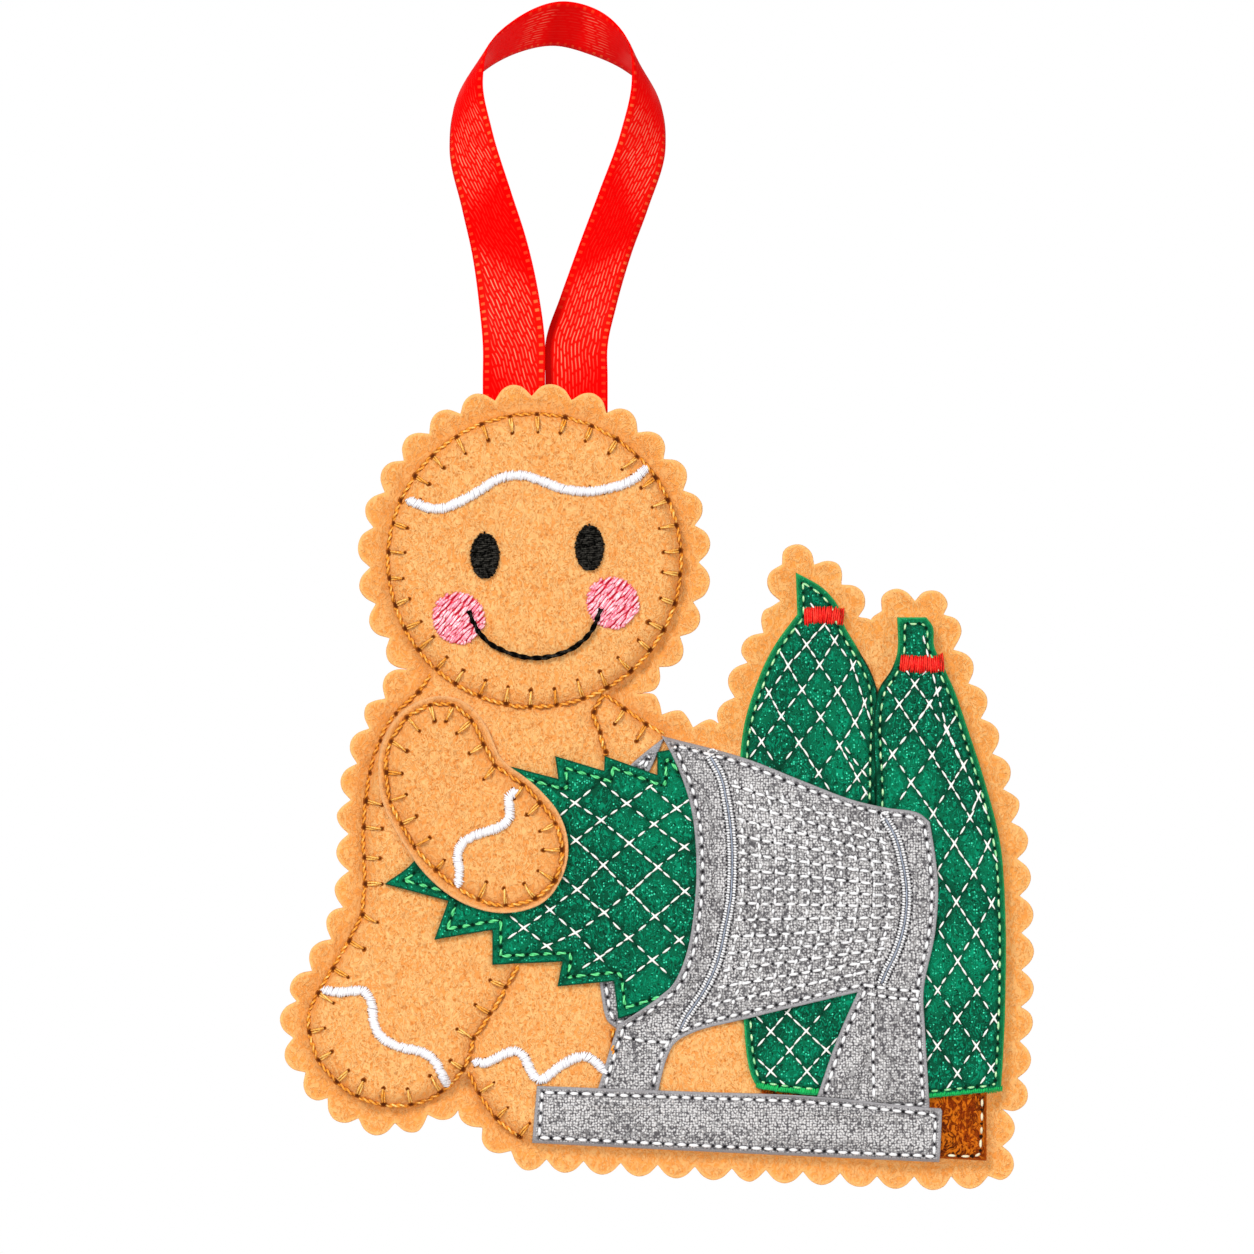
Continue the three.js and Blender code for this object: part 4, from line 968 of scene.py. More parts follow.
def make_brown_cloth_finish():
    """Brown metallic cloth: fine orange scratches and crinkles over a darker ground."""
    material, tree, surface = finish("brown_metallic_cloth", 0.5, Specular_IOR_Level=0.05)
    fine, coarse = tangle(tree, 0.36), tangle(tree, 0.8)
    brown = layered(
        tree, cloth_colour(0.46, 0.15, 0.0),
        (ramp(tree, coarse["Patch"], 0.38, 0.6), cloth_colour(0.26, 0.07, 0.0)),
        (times(tree, fine["Gap"], 0.8), cloth_colour(0.22, 0.07, 0.0)),
        (times(tree, fine["Strand"], 0.32), cloth_colour(0.80, 0.36, 0.02)),
        (times(tree, coarse["Strand"], 0.52), cloth_colour(1.0, 0.54, 0.10)),
        (less(tree, ramp(tree, mark(tree, "edge_mm"), 0.1, 0.5)), cloth_colour(0.68, 0.29, 0.02)))
    tree.links.new(brown, surface.inputs["Base Color"])
    raise_by(tree, surface, minus(tree, fine["Strand"], fine["Gap"]), 0.0001, 0.8)
    return material


trunkCloth = make_brown_cloth_finish()
lay("trunk_left_cloth", "trunk_left", trunkCloth)
trunkCut = cut_of("trunk_right")
footCorner = spots([(945, 1130)])[0]
trunkCut[(trunkCut[:, 0] < footCorner[0]) & (trunkCut[:, 1] < footCorner[1]), 1] += 1.1
onTrunk = seat_on(lay("trunk_right_cloth", "trunk_right", trunkCloth, cut=trunkCut))
creamThread = make_thread_finish("cream_thread", cloth_colour(0.72, 0.62, 0.45), cloth_colour(1.0, 0.95, 0.82))
trunkPricks = make_prick_finish("brown_stitch_hole_shade", cloth_colour(0.30, 0.13, 0.03), cloth_colour(0.10, 0.04, 0.01))
trunkStitches = running(spots([(982, 1096), (981.5, 1125), (980, 1156), (962, 1156), (945, 1155)]), 2.2, 1.3, seed=11)
threads("trunk_stitches", trunkStitches, onTrunk, 0.45, creamThread)
pricks("trunk_holes", gaps_between(trunkStitches, closed=False), onTrunk, 0.3, trunkPricks)


# ---------------------------------------------------------------------------------------------
# Back trees: two pieces of green glitter felt that meet edge to edge along one seam. White thread
# makes the net over them, and mint running stitch holds their edges down.

def make_glitter_felt_finish(name, rim, seam=None):
    """Green felt with glitter: painted shade along the net's lines, with glitter flakes in between whose fine teal
    glints are painted on. Its cut edge is in the rim's colour, but dark along the seam, which is given as its place
    across in metres."""
    material, tree, surface = finish(name, 0.8, Specular_IOR_Level=0.1)
    fine, coarse = tangle(tree, 0.46), tangle(tree, 1.9)
    edge, crease_shade = mark(tree, "edge_mm"), mark(tree, "crease_shade")
    where = node(tree, "ShaderNodeTexCoord").outputs["Object"]
    flakes = node(tree, "ShaderNodeTexVoronoi", {"Vector": where, "Scale": 2600.0}, feature="F1")
    picked = node(tree, "ShaderNodeSeparateColor", {0: flakes.outputs["Color"]}).outputs[0]
    # glitter flakes, their glints painted in as teal-white colour, with less roughness and a bump
    glitter_and_painted_glint = times(tree, less(tree, ramp(tree, flakes.outputs["Distance"], 0.25, 0.5)),
                  ramp(tree, plus(tree, picked, times(tree, coarse["Strand"], 0.16)), 0.84, 0.96))
    # painted shade along the sewn lines: darker there, without strands or glints
    plain = less(tree, times(tree, crease_shade, 0.85))
    green = layered(
        tree, cloth_colour(0.0, 0.30, 0.20),
        (ramp(tree, coarse["Patch"], 0.38, 0.62), cloth_colour(0.0, 0.43, 0.29)),
        (times(tree, fine["Gap"], 0.9), cloth_colour(0.0, 0.20, 0.13)),
        (times(tree, times(tree, fine["Strand"], plain), 0.55), cloth_colour(0.0, 0.62, 0.45)),
        (times(tree, crease_shade, 0.75), cloth_colour(0.0, 0.20, 0.13)),
        (times(tree, glitter_and_painted_glint, plain), cloth_colour(0.28, 0.97, 0.76)))
    rim_share = less(tree, ramp(tree, edge, 0.12, 0.4))
    if seam is not None:
        across = node(tree, "ShaderNodeSeparateXYZ", {0: where}).outputs[0]
        outer = ramp(tree, maths(tree, "ABSOLUTE", minus(tree, across, seam)), 0.0024, 0.0036)
        # a lighter green band inside the cut edge away from the seam, partly a painted highlight
        band = less(tree, ramp(tree, edge, 0.5, 1.2))
        green = layered(
            tree, green, (times(tree, times(tree, band, outer), 0.6), cloth_colour(0.04, 0.52, 0.30)),
            (times(tree, rim_share, less(tree, outer)), cloth_colour(0.0, 0.24, 0.15)))
        rim_share = times(tree, rim_share, outer)
    tree.links.new(layered(tree, green, (rim_share, rim)), surface.inputs["Base Color"])
    tree.links.new(minus(tree, 0.8, times(tree, glitter_and_painted_glint, 0.5)), surface.inputs["Roughness"])
    raise_by(tree, surface, plus(tree, minus(tree, fine["Strand"], fine["Gap"]), glitter_and_painted_glint), 0.00014, 0.9)
    return material


def net_lines(crossings, cell):
    """The net's two sets of lines, as rows of places: each crossing is joined to the next one down on either
    side, and each line runs on past its ends for one more cell. cell is its width and height in steps."""
    places = spots(crossings)
    half, row = cell[0] * mmPerStep / 2, cell[1] * mmPerStep
    chains = []
    for side in (-1, 1):
        below = {}
        for i, p in enumerate(places):
            best = None
            for j, q in enumerate(places):
                dx, dz = (q[0] - p[0]) * side, p[1] - q[1]
                if 0.35 * half < dx < 1.75 * half and 0.4 * row < dz < 1.7 * row:
                    off = math.hypot(dx - half, dz - row)
                    if best is None or off < best[0]:
                        best = (off, j)
            if best:
                below[i] = best[1]
        starts = set(range(len(places))) - set(below.values())
        for i in sorted(starts):
            line = [i]
            while line[-1] in below:
                line.append(below[line[-1]])
            path = [places[k] for k in line]
            first = path[1] - path[0] if len(path) > 1 else np.array([side * half, -row])
            last = path[-1] - path[-2] if len(path) > 1 else first
            path = [path[0] - first * 1.3] + path + [path[-1] + last * 1.3]
            chains.append(np.array(path))
    return chains


netPitch, netStitch, crossingStitch = 2.25, 1.85, 2.6


def net_stitches(chains, loop, seed, margin=0.75):
    """Pointed dashes along the net's lines, with a longer one at every crossing."""
    rng = np.random.default_rng(seed)
    found = []
    for chain in chains:
        for link, (first, last) in enumerate(zip(chain[:-1], chain[1:])):
            length = float(np.linalg.norm(last - first))
            count = max(1, round(length / netPitch))
            for k in range(count):
                stitch = crossingStitch if k == 0 and link else netStitch
                middle = first + (last - first) * (k / count) + rng.normal(0, 0.05, 2)
                half = (last - first) / length * stitch / 2 * (1 + rng.normal(0, 0.08))
                found.append(np.concatenate([middle - half, middle + half]))
    rows = np.array(found)
    return rows[(depth_in(rows[:, :2], loop) > margin) & (depth_in(rows[:, 2:], loop) > margin)]


def rows_of(chains):
    """The lines of a net as segments, for the pull of its thread on the felt."""
    return [sides(chain, False) for chain in chains]


# the back trees' lighter green rim: the cut edge's own colour, partly a painted highlight
backFirFelt = make_glitter_felt_finish("green_glitter_felt", cloth_colour(0.18, 0.66, 0.38),
                                       seam=(877 - pictureMiddle) * mmPerStep / 1000)
netThread = make_thread_finish("net_thread", cloth_colour(0.93, 0.92, 0.86), cloth_colour(1.0, 1.0, 0.98))
mintThread = make_thread_finish("mint_thread", cloth_colour(0.10, 0.55, 0.30), cloth_colour(0.93, 1.0, 0.80),
                                middle=cloth_colour(0.45, 0.82, 0.55))
greenPricks = make_prick_finish("green_stitch_hole_shade", cloth_colour(0.0, 0.22, 0.13), cloth_colour(0.0, 0.09, 0.05))
leftCrossings = [
    (806.3, 644.8), (835, 639.8), (788.1, 665.5), (819.9, 664.7), (852.4, 665.5), (768.7, 693.7), (801.7, 689.6),
    (837.3, 691.2), (781.1, 715.6), (819.9, 716.6), (864.4, 702.8), (855.2, 721.9), (761.5, 742.1), (799.3, 742.6),
    (839.5, 745.6), (778.5, 769.5), (818.4, 773), (857.2, 777.1), (872.3, 784.4)]
leftFootCrossings = [(771, 1031), (806, 1031), (752, 1053), (789.5, 1050), (826, 1050), (771, 1071), (807, 1071)]
rightCrossings = [
    (915.2, 684), (936.9, 691.3), (899.1, 704.4), (929, 704.4), (913.6, 726.6), (946.6, 730.4), (892.5, 754.1),
    (931.3, 754.9), (963.4, 765.6), (911.3, 783.2), (950.7, 784.8), (978.3, 796.3), (932.8, 813.1), (970.3, 816.9),
    (953.9, 843.7), (987.5, 845.3), (974.1, 873.6), (956.5, 901.4), (991, 902.9), (975.7, 932), (957.6, 960.4),
    (994.8, 965), (937.4, 990.2), (976.7, 991), (957.3, 1017.8), (994, 1018.5), (937.4, 1045.4), (976.1, 1046.1),
    (957.3, 1072.9), (991, 1067.6)]
partingAcross, partingDown, seamFoot = 878, 691, 1010


def met(cut, side):
    """The two back trees meet edge to edge along one seam below their parting."""
    down = pictureTop - cut[:, 1] / mmPerStep
    across = pictureMiddle + cut[:, 0] / mmPerStep
    seam = partingAcross - (down - partingDown) * 0.02
    near = (down > partingDown - 0.5) & (down < seamFoot) & (np.abs(across - seam) < 9)
    moved = cut.copy()
    moved[near, 0] = (seam[near] - pictureMiddle + (-1.5 if side == "left" else 1.5)) * mmPerStep
    return moved


leftNet = net_lines(leftCrossings, (38, 26)) + net_lines(leftFootCrossings, (38, 20))
rightNet = net_lines(rightCrossings, (39, 28))
onTree = {}
for side, net, netNodes in (("left", leftNet, ["net_back_left", "net_back_left_foot"]),
                            ("right", rightNet, ["net_back_right"])):
    cad = f"back_tree_{side}"
    cut = met(cut_of(cad), side)
    edgeLine = sewing_line(cut, 1.05)
    piece = lay(f"{cad}_felt", cad, backFirFelt, step=0.55, lines=rows_of(net) + [sides(edgeLine)],
                dent=0.42, dent_width=0.55, cut=cut)
    onTree[side] = seat_on(frontFelt, piece)
    netRows = uncovered(net_stitches(net, edge_of(cut), seed=30), coneCut, baseCut)
    netting = threads(f"net_back_{side}_threads", netRows, onTree[side], 0.35, netThread, shape=0.05,
                      pointed=0.9, stations=7)
    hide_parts(*netNodes)
    edgeRows = running(edgeLine, 1.95, 1.2, seed=41, closed=True, jitter=0.12)
    threads(f"{cad}_edge_stitches", uncovered(edgeRows, coneCut, baseCut), onTree[side], 0.42, mintThread,
            seed=43, rise=0.1)
    pricks(f"{cad}_holes", shown_places(gaps_between(edgeRows), coneCut, baseCut), onTree[side], 0.27, greenPricks,
           seed=45)


# ---------------------------------------------------------------------------------------------
# Ties and hems: red satin stitch binds the top of each back tree, and green satin stitch closes the
# net along its foot. The threads lie side by side across the line, a little uneven in length.

redThread = make_thread_finish("red_thread", cloth_colour(0.60, 0.0, 0.0), cloth_colour(1.0, 0.27, 0.19),
                               middle=cloth_colour(0.92, 0.0, 0.0), Specular_IOR_Level=0.2)


def satin(path, width, pitch, ragged=0.08, lean=0.0, seed=51, rounded=0.0):
    """Threads laid side by side across a line, shorter towards rounded ends."""
    rng = np.random.default_rng(seed)
    travelled = measured(path)
    count = int(travelled[-1] / pitch)
    beats = np.linspace(0, travelled[-1], count)
    middle = at(path, travelled, beats)
    ahead = unit(at(path, travelled, beats + 0.05) - at(path, travelled, beats - 0.05))
    aside = np.stack([-ahead[:, 1], ahead[:, 0]], 1)
    width = np.full((count, 1), float(width))
    if rounded:
        inner = np.minimum(np.minimum(beats, travelled[-1] - beats) / rounded, 1)[:, None]
        width = width * np.sqrt(np.maximum(1 - (1 - inner) ** 2, 0.12))
    near = width / 2 * (1 + rng.normal(0, ragged, (count, 1)))
    far = width / 2 * (1 + rng.normal(0, ragged, (count, 1)))
    slant = ahead * lean + ahead * rng.normal(0, 0.04, (count, 1))
    return np.hstack([middle + aside * near + slant, middle - aside * far - slant])


hemThread = make_thread_finish("hem_thread", cloth_colour(0.0, 0.46, 0.22), cloth_colour(0.10, 0.76, 0.38))
for side, tied, hem in (
        ("left", [(805, 616), (824, 615), (843, 616.5)], [(757, 1085), (785, 1089.5), (820, 1091)]),
        ("right", [(901, 663), (922, 664.5), (943, 663)], [(925, 1096.5), (960, 1093.5), (1002, 1089)])):
    tie = threads(f"tie_{side}_threads", satin(curve_through(spots(tied)), 2.9, 0.31, 0.07, 0.06, seed=52),
                  onTree[side], 0.42, redThread, rise=0.35, stations=7)
    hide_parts(f"tie_{side}")
    threads(f"back_tree_{side}_hem", satin(curve_through(spots(hem)), 1.3, 0.3, 0.15, 0.1, seed=54),
            onTree[side], 0.36, hemThread, flat=0.3)


# ---------------------------------------------------------------------------------------------
# Machine's rim: the far end of the netting machine's cone, a bent strip of silver metallic cloth.
# It lies under the front tree and is held by silver running stitch inside its cut edge.

def make_silver_cloth_finish():
    """Silver cloth: a tight grain of bright curled flecks over a darker ground, painted shade along its sewing, and a
    plain cut edge.
    """
    material, tree, surface = finish("silver_metallic_cloth", 0.5, Metallic=0.1, Specular_IOR_Level=0.2)
    where = node(tree, "ShaderNodeTexCoord").outputs["Object"]
    shift = node(tree, "ShaderNodeTexNoise", {"Vector": where, "Scale": 900.0, "Detail": 1.0})
    pushed = node(tree, "ShaderNodeVectorMath", {0: shift.outputs["Color"], 3: 0.00045}, operation="SCALE").outputs[0]
    curled = node(tree, "ShaderNodeVectorMath", {0: where, 1: pushed}, operation="ADD").outputs[0]
    flecks = node(tree, "ShaderNodeTexVoronoi", {0: curled, "Scale": 2300.0, "Randomness": 0.55}, feature="F1")
    fleck = less(tree, ramp(tree, flecks.outputs["Distance"], 0.22, 0.62))
    silver = layered(
        tree, cloth_colour(0.33, 0.32, 0.33),
        (fleck, cloth_colour(0.845, 0.835, 0.835)),
        (times(tree, tangle(tree, 1.6)["Gap"], 0.25), cloth_colour(0.34, 0.33, 0.34)),
        (times(tree, tangle(tree, 0.5)["Strand"], 0.25), cloth_colour(0.98, 0.97, 0.96)),
        # painted shade along the sewn lines
        (times(tree, mark(tree, "crease_shade"), 0.55), cloth_colour(0.34, 0.33, 0.35)),
        (less(tree, ramp(tree, mark(tree, "edge_mm"), 0.32, 0.6)), cloth_colour(0.61, 0.60, 0.61)))
    tree.links.new(silver, surface.inputs["Base Color"])
    raise_by(tree, surface, fleck, 0.00010, 0.8)
    return material


silverCloth = make_silver_cloth_finish()
silverThread = make_thread_finish("silver_thread", cloth_colour(0.80, 0.79, 0.80), cloth_colour(1.0, 1.0, 1.0))
silverPricks = make_prick_finish("silver_stitch_hole_shade", cloth_colour(0.42, 0.41, 0.42), cloth_colour(0.08, 0.08, 0.09))


def edge_stitched(name, line, pitch, stitch, piece, covers, seed):
    """Silver running stitch inside a cut edge, with a dark hole between each stitch and the next."""
    rows = running(line, pitch, stitch, seed=seed, closed=True)
    surface = seat_on(piece)
    threads(f"{name}_stitches", uncovered(rows, *covers), surface, 0.56, silverThread, sink=0.04)
    pricks(f"{name}_holes", shown_places(gaps_between(rows), *covers), surface, 0.36, silverPricks)
    return surface


rimCut = cut_of("machine_rim")
rimEdge, rimLine = edge_of(rimCut), sewing_line(rimCut, 0.95)
rimPiece = lay("machine_rim_cloth", "machine_rim", silverCloth, lines=[sides(rimLine)], dent=0.25)
edge_stitched("machine_rim", rimLine, 2.0, 1.25, rimPiece, [treeCut, coneCut], 61)


# ---------------------------------------------------------------------------------------------
# Front tree: the fir that is pushed into the machine, of the same green glitter felt as the others.
# White thread makes its net, and green two-ply stitches along its edge hold it down.

frontCrossings = [
    (575.3, 802.7), (626.6, 802.7), (676.7, 808.4), (601, 820.4), (653.6, 824.2), (576.1, 840), (629.8, 843.1),
    (684.1, 847.3), (603.5, 865.2), (657.4, 866.9), (576.8, 889.4), (630.4, 891.1), (685.1, 891.1), (550.5, 909),
    (604.1, 913), (655.3, 916.8), (524.2, 927.3), (575.3, 932.6), (628.9, 937.8), (679.2, 939.9), (547.3, 946.2),
    (599.3, 957.2), (652.9, 959.9)]
greenThread = make_thread_finish("green_thread", cloth_colour(0.03, 0.66, 0.34), cloth_colour(0.52, 1.0, 0.66),
                                 Specular_IOR_Level=0.25)
frontNet = net_lines(frontCrossings, (53, 22.5))
frontEdgeLine = sewing_line(treeCut, 1.35)
# the front tree's dark green rim: the cut edge's own colour, partly painted shade of its side wall
firFelt = make_glitter_felt_finish("green_glitter_felt_front", cloth_colour(0.0, 0.32, 0.22))
frontPiece = lay("front_tree_felt", "front_tree", firFelt, step=0.5,
                 lines=rows_of(frontNet) + [sides(frontEdgeLine)], dent=0.5, dent_width=0.6)
onFrontTree = seat_on(frontPiece)
frontRows = uncovered(net_stitches(frontNet, edge_of(treeCut), margin=1.5, seed=70), coneCut, armCut)
frontNetting = threads("net_front_threads", frontRows, onFrontTree, 0.38, netThread, shape=0.05,
                       pointed=0.9, stations=7)
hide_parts("net_front")
frontEdgeRows = running(frontEdgeLine, 2.2, 1.6, seed=71, closed=True, jitter=0.1)
threads("front_tree_edge_stitches", uncovered(frontEdgeRows, coneCut, armCut), onFrontTree, 0.54, greenThread,
        ply=2, twist=3.0, stations=7)
pricks("front_tree_holes", shown_places(gaps_between(frontEdgeRows), coneCut, armCut), onFrontTree, 0.3, greenPricks,
       seed=73)


# ---------------------------------------------------------------------------------------------
# Machine's cone: silver metallic cloth, cut in one piece with its two legs. It lies over the end of
# the front tree and over the back trees, and is held by silver running stitch inside its edge.

coneLine = sewing_line(coneCut, 1.0)
conePiece = lay("machine_cone_cloth", "machine_cone", silverCloth, step=0.55,
                lines=[sides(coneLine)], dent=0.25)
onCone = edge_stitched("machine_cone", coneLine, 2.0, 1.3, conePiece, [baseCut], 81)


# ---------------------------------------------------------------------------------------------
# Pipings, mesh and seams on the cone: two bowed bands, each a blue-grey cord between two rows of
# silver satin stitch, between them an open mesh of silver stitches, and running stitch on the legs.

frontPiping = curve_through(spots([(710, 756), (721.7, 779), (728.6, 813), (732, 848), (731, 894), (725, 928),
                                   (717, 962.5), (703, 992), (687, 1015), (680, 1029)]))
rearPiping = curve_through(spots([(884.7, 818), (896, 838.6), (903, 866), (906.5, 893.7), (904, 923.5), (896, 951),
                                  (887, 969), (881, 983)]))


def beside(path, by):
    """A line that runs beside another."""
    ahead = unit(np.gradient(path, axis=0))
    return path + np.stack([-ahead[:, 1], ahead[:, 0]], 1) * by


blueGreyThread = make_thread_finish("blue_grey_thread", cloth_colour(0.40, 0.42, 0.47), cloth_colour(0.64, 0.67, 0.73))
for side, path, hook in (("front", frontPiping, [(711, 757), (707, 753), (712, 749), (718, 752)]),
                         ("rear", rearPiping, [(885, 819), (880, 817), (882, 812), (889, 812)])):
    rows = np.vstack([satin(beside(path, off), 0.62, 0.43, 0.1, 0.05, seed=90) for off in (-0.46, 0.46)]
                     + [running(curve_through(spots(hook)), 0.5, 0.6, seed=91)])
    piping = threads(f"piping_{side}_threads", rows, onCone, 0.36, silverThread, rise=0.25)
    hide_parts(f"piping_{side}")
    threads(f"piping_{side}_cord", running(path, 2.0, 2.2, seed=93, jitter=0.0), onCone, 0.3, blueGreyThread,
            rise=0.12, sink=0, shape=0.95)
    travelled = measured(path)
    beats = np.arange(0.3, travelled[-1], 0.68)
    holes = np.vstack([at(beside(path, off), travelled, beats) for off in (-0.85, 0.85)])
    pricks(f"piping_{side}_holes", holes, onCone, 0.23, silverPricks, seed=92)


def cone_place(share, down):
    """A place on the cone between its two pipings: share of the way back, and of the way down."""
    top = np.stack([722 + 164 * share, 768 + 58 * share], -1)
    low = np.stack([700 + 180 * share, 1018 - 43 * share], -1)
    bulge = 19 * 4 * down * (1 - down)
    return spots(np.atleast_2d(top * (1 - down)[..., None] + low * down[..., None]
                               + np.stack([bulge, 0 * bulge], -1)))


def cone_mesh():
    """Rows of running stitch round the cone with short ticks along it between them, and the rows' holes."""
    rng = np.random.default_rng(95)
    found, holes = [], []
    full = np.full(60, 1.0)
    for down in np.linspace(0.06, 0.95, 14):
        line = cone_place(np.linspace(0.03, 0.97, 60), full * down)
        row = running(line, 2.0, 1.4, seed=int(down * 1000), jitter=0.1)
        found.append(row + rng.normal(0, 0.05, row.shape))
        holes.append(gaps_between(row, closed=False))
    for share in np.linspace(0.07, 0.93, 10):
        line = cone_place(full * share, np.linspace(0.02, 0.98, 60))
        row = running(line, 1.6, 0.85, seed=int(share * 1000) + 7, jitter=0.12)
        found.append(row + rng.normal(0, 0.05, row.shape))
    return np.vstack(found), np.vstack(holes)


coneRows, coneGaps = cone_mesh()
threads("machine_cone_mesh", coneRows, onCone, 0.5, silverThread, seed=96, sink=0.04)
pricks("machine_cone_mesh_holes", coneGaps, onCone, 0.26, silverPricks, seed=97)
legSeams = [[(864, 984.5), (894, 989), (921, 991)], [(866, 993), (894, 997.5), (919, 999.5)],
            [(872, 1000), (873.5, 1098)], [(622, 1036), (645, 1041), (670, 1042)]]
legRows = [running(curve_through(spots(line)), 1.9, 1.35, seed=98) for line in legSeams]
threads("machine_leg_seams", np.vstack(legRows), onCone, 0.56, silverThread, seed=99, sink=0.04)
pricks("machine_leg_seam_holes", np.vstack([gaps_between(rows, closed=False) for rows in legRows]), onCone, 0.36,
       silverPricks, seed=100)


# ---------------------------------------------------------------------------------------------
# Machine's base: a bar of silver metallic cloth. It lies over the feet of the machine's legs and of
# the left trunk, and is held by silver running stitch inside its whole edge.

baseLine = sewing_line(baseCut, 1.0)
basePiece = lay("machine_base_cloth", "machine_base", silverCloth, lines=[sides(baseLine)], dent=0.25)
edge_stitched("machine_base", baseLine, 2.0, 1.4, basePiece, [], 101)


# ---------------------------------------------------------------------------------------------
# Arm: a second piece of the tan felt, laid over the front tree and held by gold blanket stitch.

armSeam = curve_through(spots([
    (433, 703.6), (406.6, 717), (389, 745), (386, 772.5), (389, 800), (401, 824), (414.6, 847), (435, 869), (457, 887),
    (480, 900), (505, 905.7), (533, 900), (554.7, 881.6), (562.7, 849), (556, 823), (542, 804.6), (526, 786),
    (496, 765.6), (484.6, 745), (472, 719.7), (453.6, 704.8)]), closed=True)
armFelt = make_felt_finish("tan_arm_felt", cloth_colour(0.915, 0.60, 0.31), cloth_colour(0.915, 0.60, 0.31),
                           cloth_colour(0.92, 0.68, 0.45))
onArm = seat_on(lay("arm_felt", "arm", armFelt, lines=[sides(armSeam)], dent=0.45, dent_width=0.8))


# ---------------------------------------------------------------------------------------------
# Blanket stitch: gold two-ply thread that runs along the edge of each form, with a spur inward at
# every stitch. Where a spur leaves the line the thread pulls a hole into the felt, shown as a dark spot of painted
# shade.

joints = {
    "head": [(482.7, 426.4), (510.1, 417.1), (536.9, 413.7), (565.7, 415.7), (592.5, 423.7), (619.3, 436.5),
             (639.4, 454.6), (657.5, 476), (668.2, 500.1), (675.5, 525.5), (678.9, 550.3), (678.9, 574.4),
             (672.2, 602.5), (661.7, 628.6), (648.5, 648.8), (631.3, 671.1), (606.3, 686.4), (584, 700.5),
             (556.6, 706.6), (530.3, 709.7), (504.9, 708.7), (477.5, 700.5), (453.2, 687.4), (433.9, 672.2),
             (415.9, 651.9), (401.8, 630.1), (393.2, 605.8), (388.5, 578.5), (390.1, 551.9), (395.6, 523.8),
             (403.4, 501.9), (419, 478.5), (435.4, 459), (458.1, 439.4)],
    "body": [(416.7, 691.4), (397.4, 714.7), (383.2, 742.1), (371.1, 773.6), (365, 800.9), (364, 827.3), (364, 857.7),
             (364, 884.1), (360.9, 914.5), (349, 941), (332.7, 968.5), (317.4, 992.8), (309.3, 1032.3),
             (318.3, 1060.2), (336.3, 1082.7), (357, 1096.2), (383, 1105.2), (410.9, 1105.2), (440.6, 1092.6),
             (462.2, 1068.3), (475.7, 1039.5), (490, 1013.5), (506.2, 987.4)],
    "side": [(592.7, 711.7), (599.8, 733), (605, 752)],
    "foot": [(477.5, 1094.4), (495.4, 1119.6), (519.7, 1135.8)],
    "shoulder": [(645.5, 724.9), (624.2, 709.7)],
    "arm": [(429.9, 704.6), (453.2, 704.6), (472.5, 719.8), (484.6, 744.1), (494.8, 766.5), (521, 786.7), (539.4, 803),
            (555.6, 823.2), (562.7, 849.6), (553.6, 880), (535.3, 898.3), (505.9, 904.4), (479.6, 897.3),
            (457.9, 887), (436, 869.9), (415.7, 846.6), (402.5, 823.2), (392.4, 800.9), (386.3, 772.5),
            (391.3, 741.1), (407.6, 717.8)],
}


jointGap, longestRun = 0.33, 3.4


def blanket(path, places, spur, closed, seed):
    """Runs along the line from joint to joint, spurs beside it, the holes at the joints and at the spurs'
    tips, and the line's way at each joint."""
    rng = np.random.default_rng(seed)
    if closed:
        path = np.vstack([path, path[:1]])
    travelled = measured(path)
    fine = np.arange(0, travelled[-1], 0.05)
    steps = at(path, travelled, fine)
    beats = np.sort([fine[np.argmin(np.linalg.norm(steps - place, axis=1))] for place in spots(places)])
    corner = at(path, travelled, beats)
    ahead = unit(at(path, travelled, beats + 0.3) - at(path, travelled, beats - 0.3))
    inward = np.stack([-ahead[:, 1], ahead[:, 0]], 1)
    lean = rng.normal(0, 0.18, (len(beats), 1))
    tip = corner + inward * spur * (1 + rng.normal(0, 0.08, (len(beats), 1))) + ahead * lean
    if closed:
        beats = np.append(beats, beats[0] + travelled[-1])
    else:
        beats = np.concatenate([[-0.3], beats, [travelled[-1] + 0.3]])
    runs = []
    for a, b in zip(beats[:-1], beats[1:]):
        parts = np.linspace(a + jointGap, b - jointGap, max(2, round((b - a) / longestRun) + 1))
        spread = at(path, travelled, parts % travelled[-1] if closed else parts)
        runs += [np.concatenate([p, q]) for p, q in zip(spread[:-1], spread[1:])]
    runs = np.array(runs)
    return runs, np.hstack([corner + inward * 0.3, tip]), corner + inward * 0.12, tip + inward * 0.1, ahead


icing = {
    "icing_forehead": [(407, 500), (438.5, 508.8), (471, 495.8), (497, 479.5), (521, 475.2), (540.5, 480.6), (564, 489),
                       (588, 491.4), (610, 488), (631.5, 480.6), (648, 466.5)],
    "icing_cuff": [(518, 791), (508.7, 796.6), (510, 809), (508.7, 818.4), (498.4, 827.6), (480, 833.3), (464, 841.4),
                   (458, 853), (459.4, 869), (458, 886)],
    "icing_left_foot": [(321.7, 989.5), (339, 992), (362, 990.7), (371, 1001), (374.5, 1024), (382.5, 1038),
                        (401, 1047), (421.5, 1051.5), (435, 1061), (442, 1074.5), (448, 1087)],
    "icing_right_foot": [(473, 1061), (486, 1063), (499.6, 1056), (515.7, 1050.4), (525, 1058.4), (534, 1075.6),
                         (543, 1079), (561.6, 1065), (582, 1056), (596, 1062), (606, 1073)],
}
icingWidth = 1.62


def iced(points):
    """Where a line of icing lies over the sewing."""
    lines = np.vstack([sides(curve_through(spots(path)), False) for path in icing.values()])
    return distance_to(points, lines) < icingWidth / 2


def covered(points):
    """Where the picture's cloths or a line of icing lie over the sewing."""
    found = iced(points)
    for outline in (treeCut, coneCut, armCut, baseCut, rimEdge):
        found |= depth_in(points, outline) > 0.1
    return found


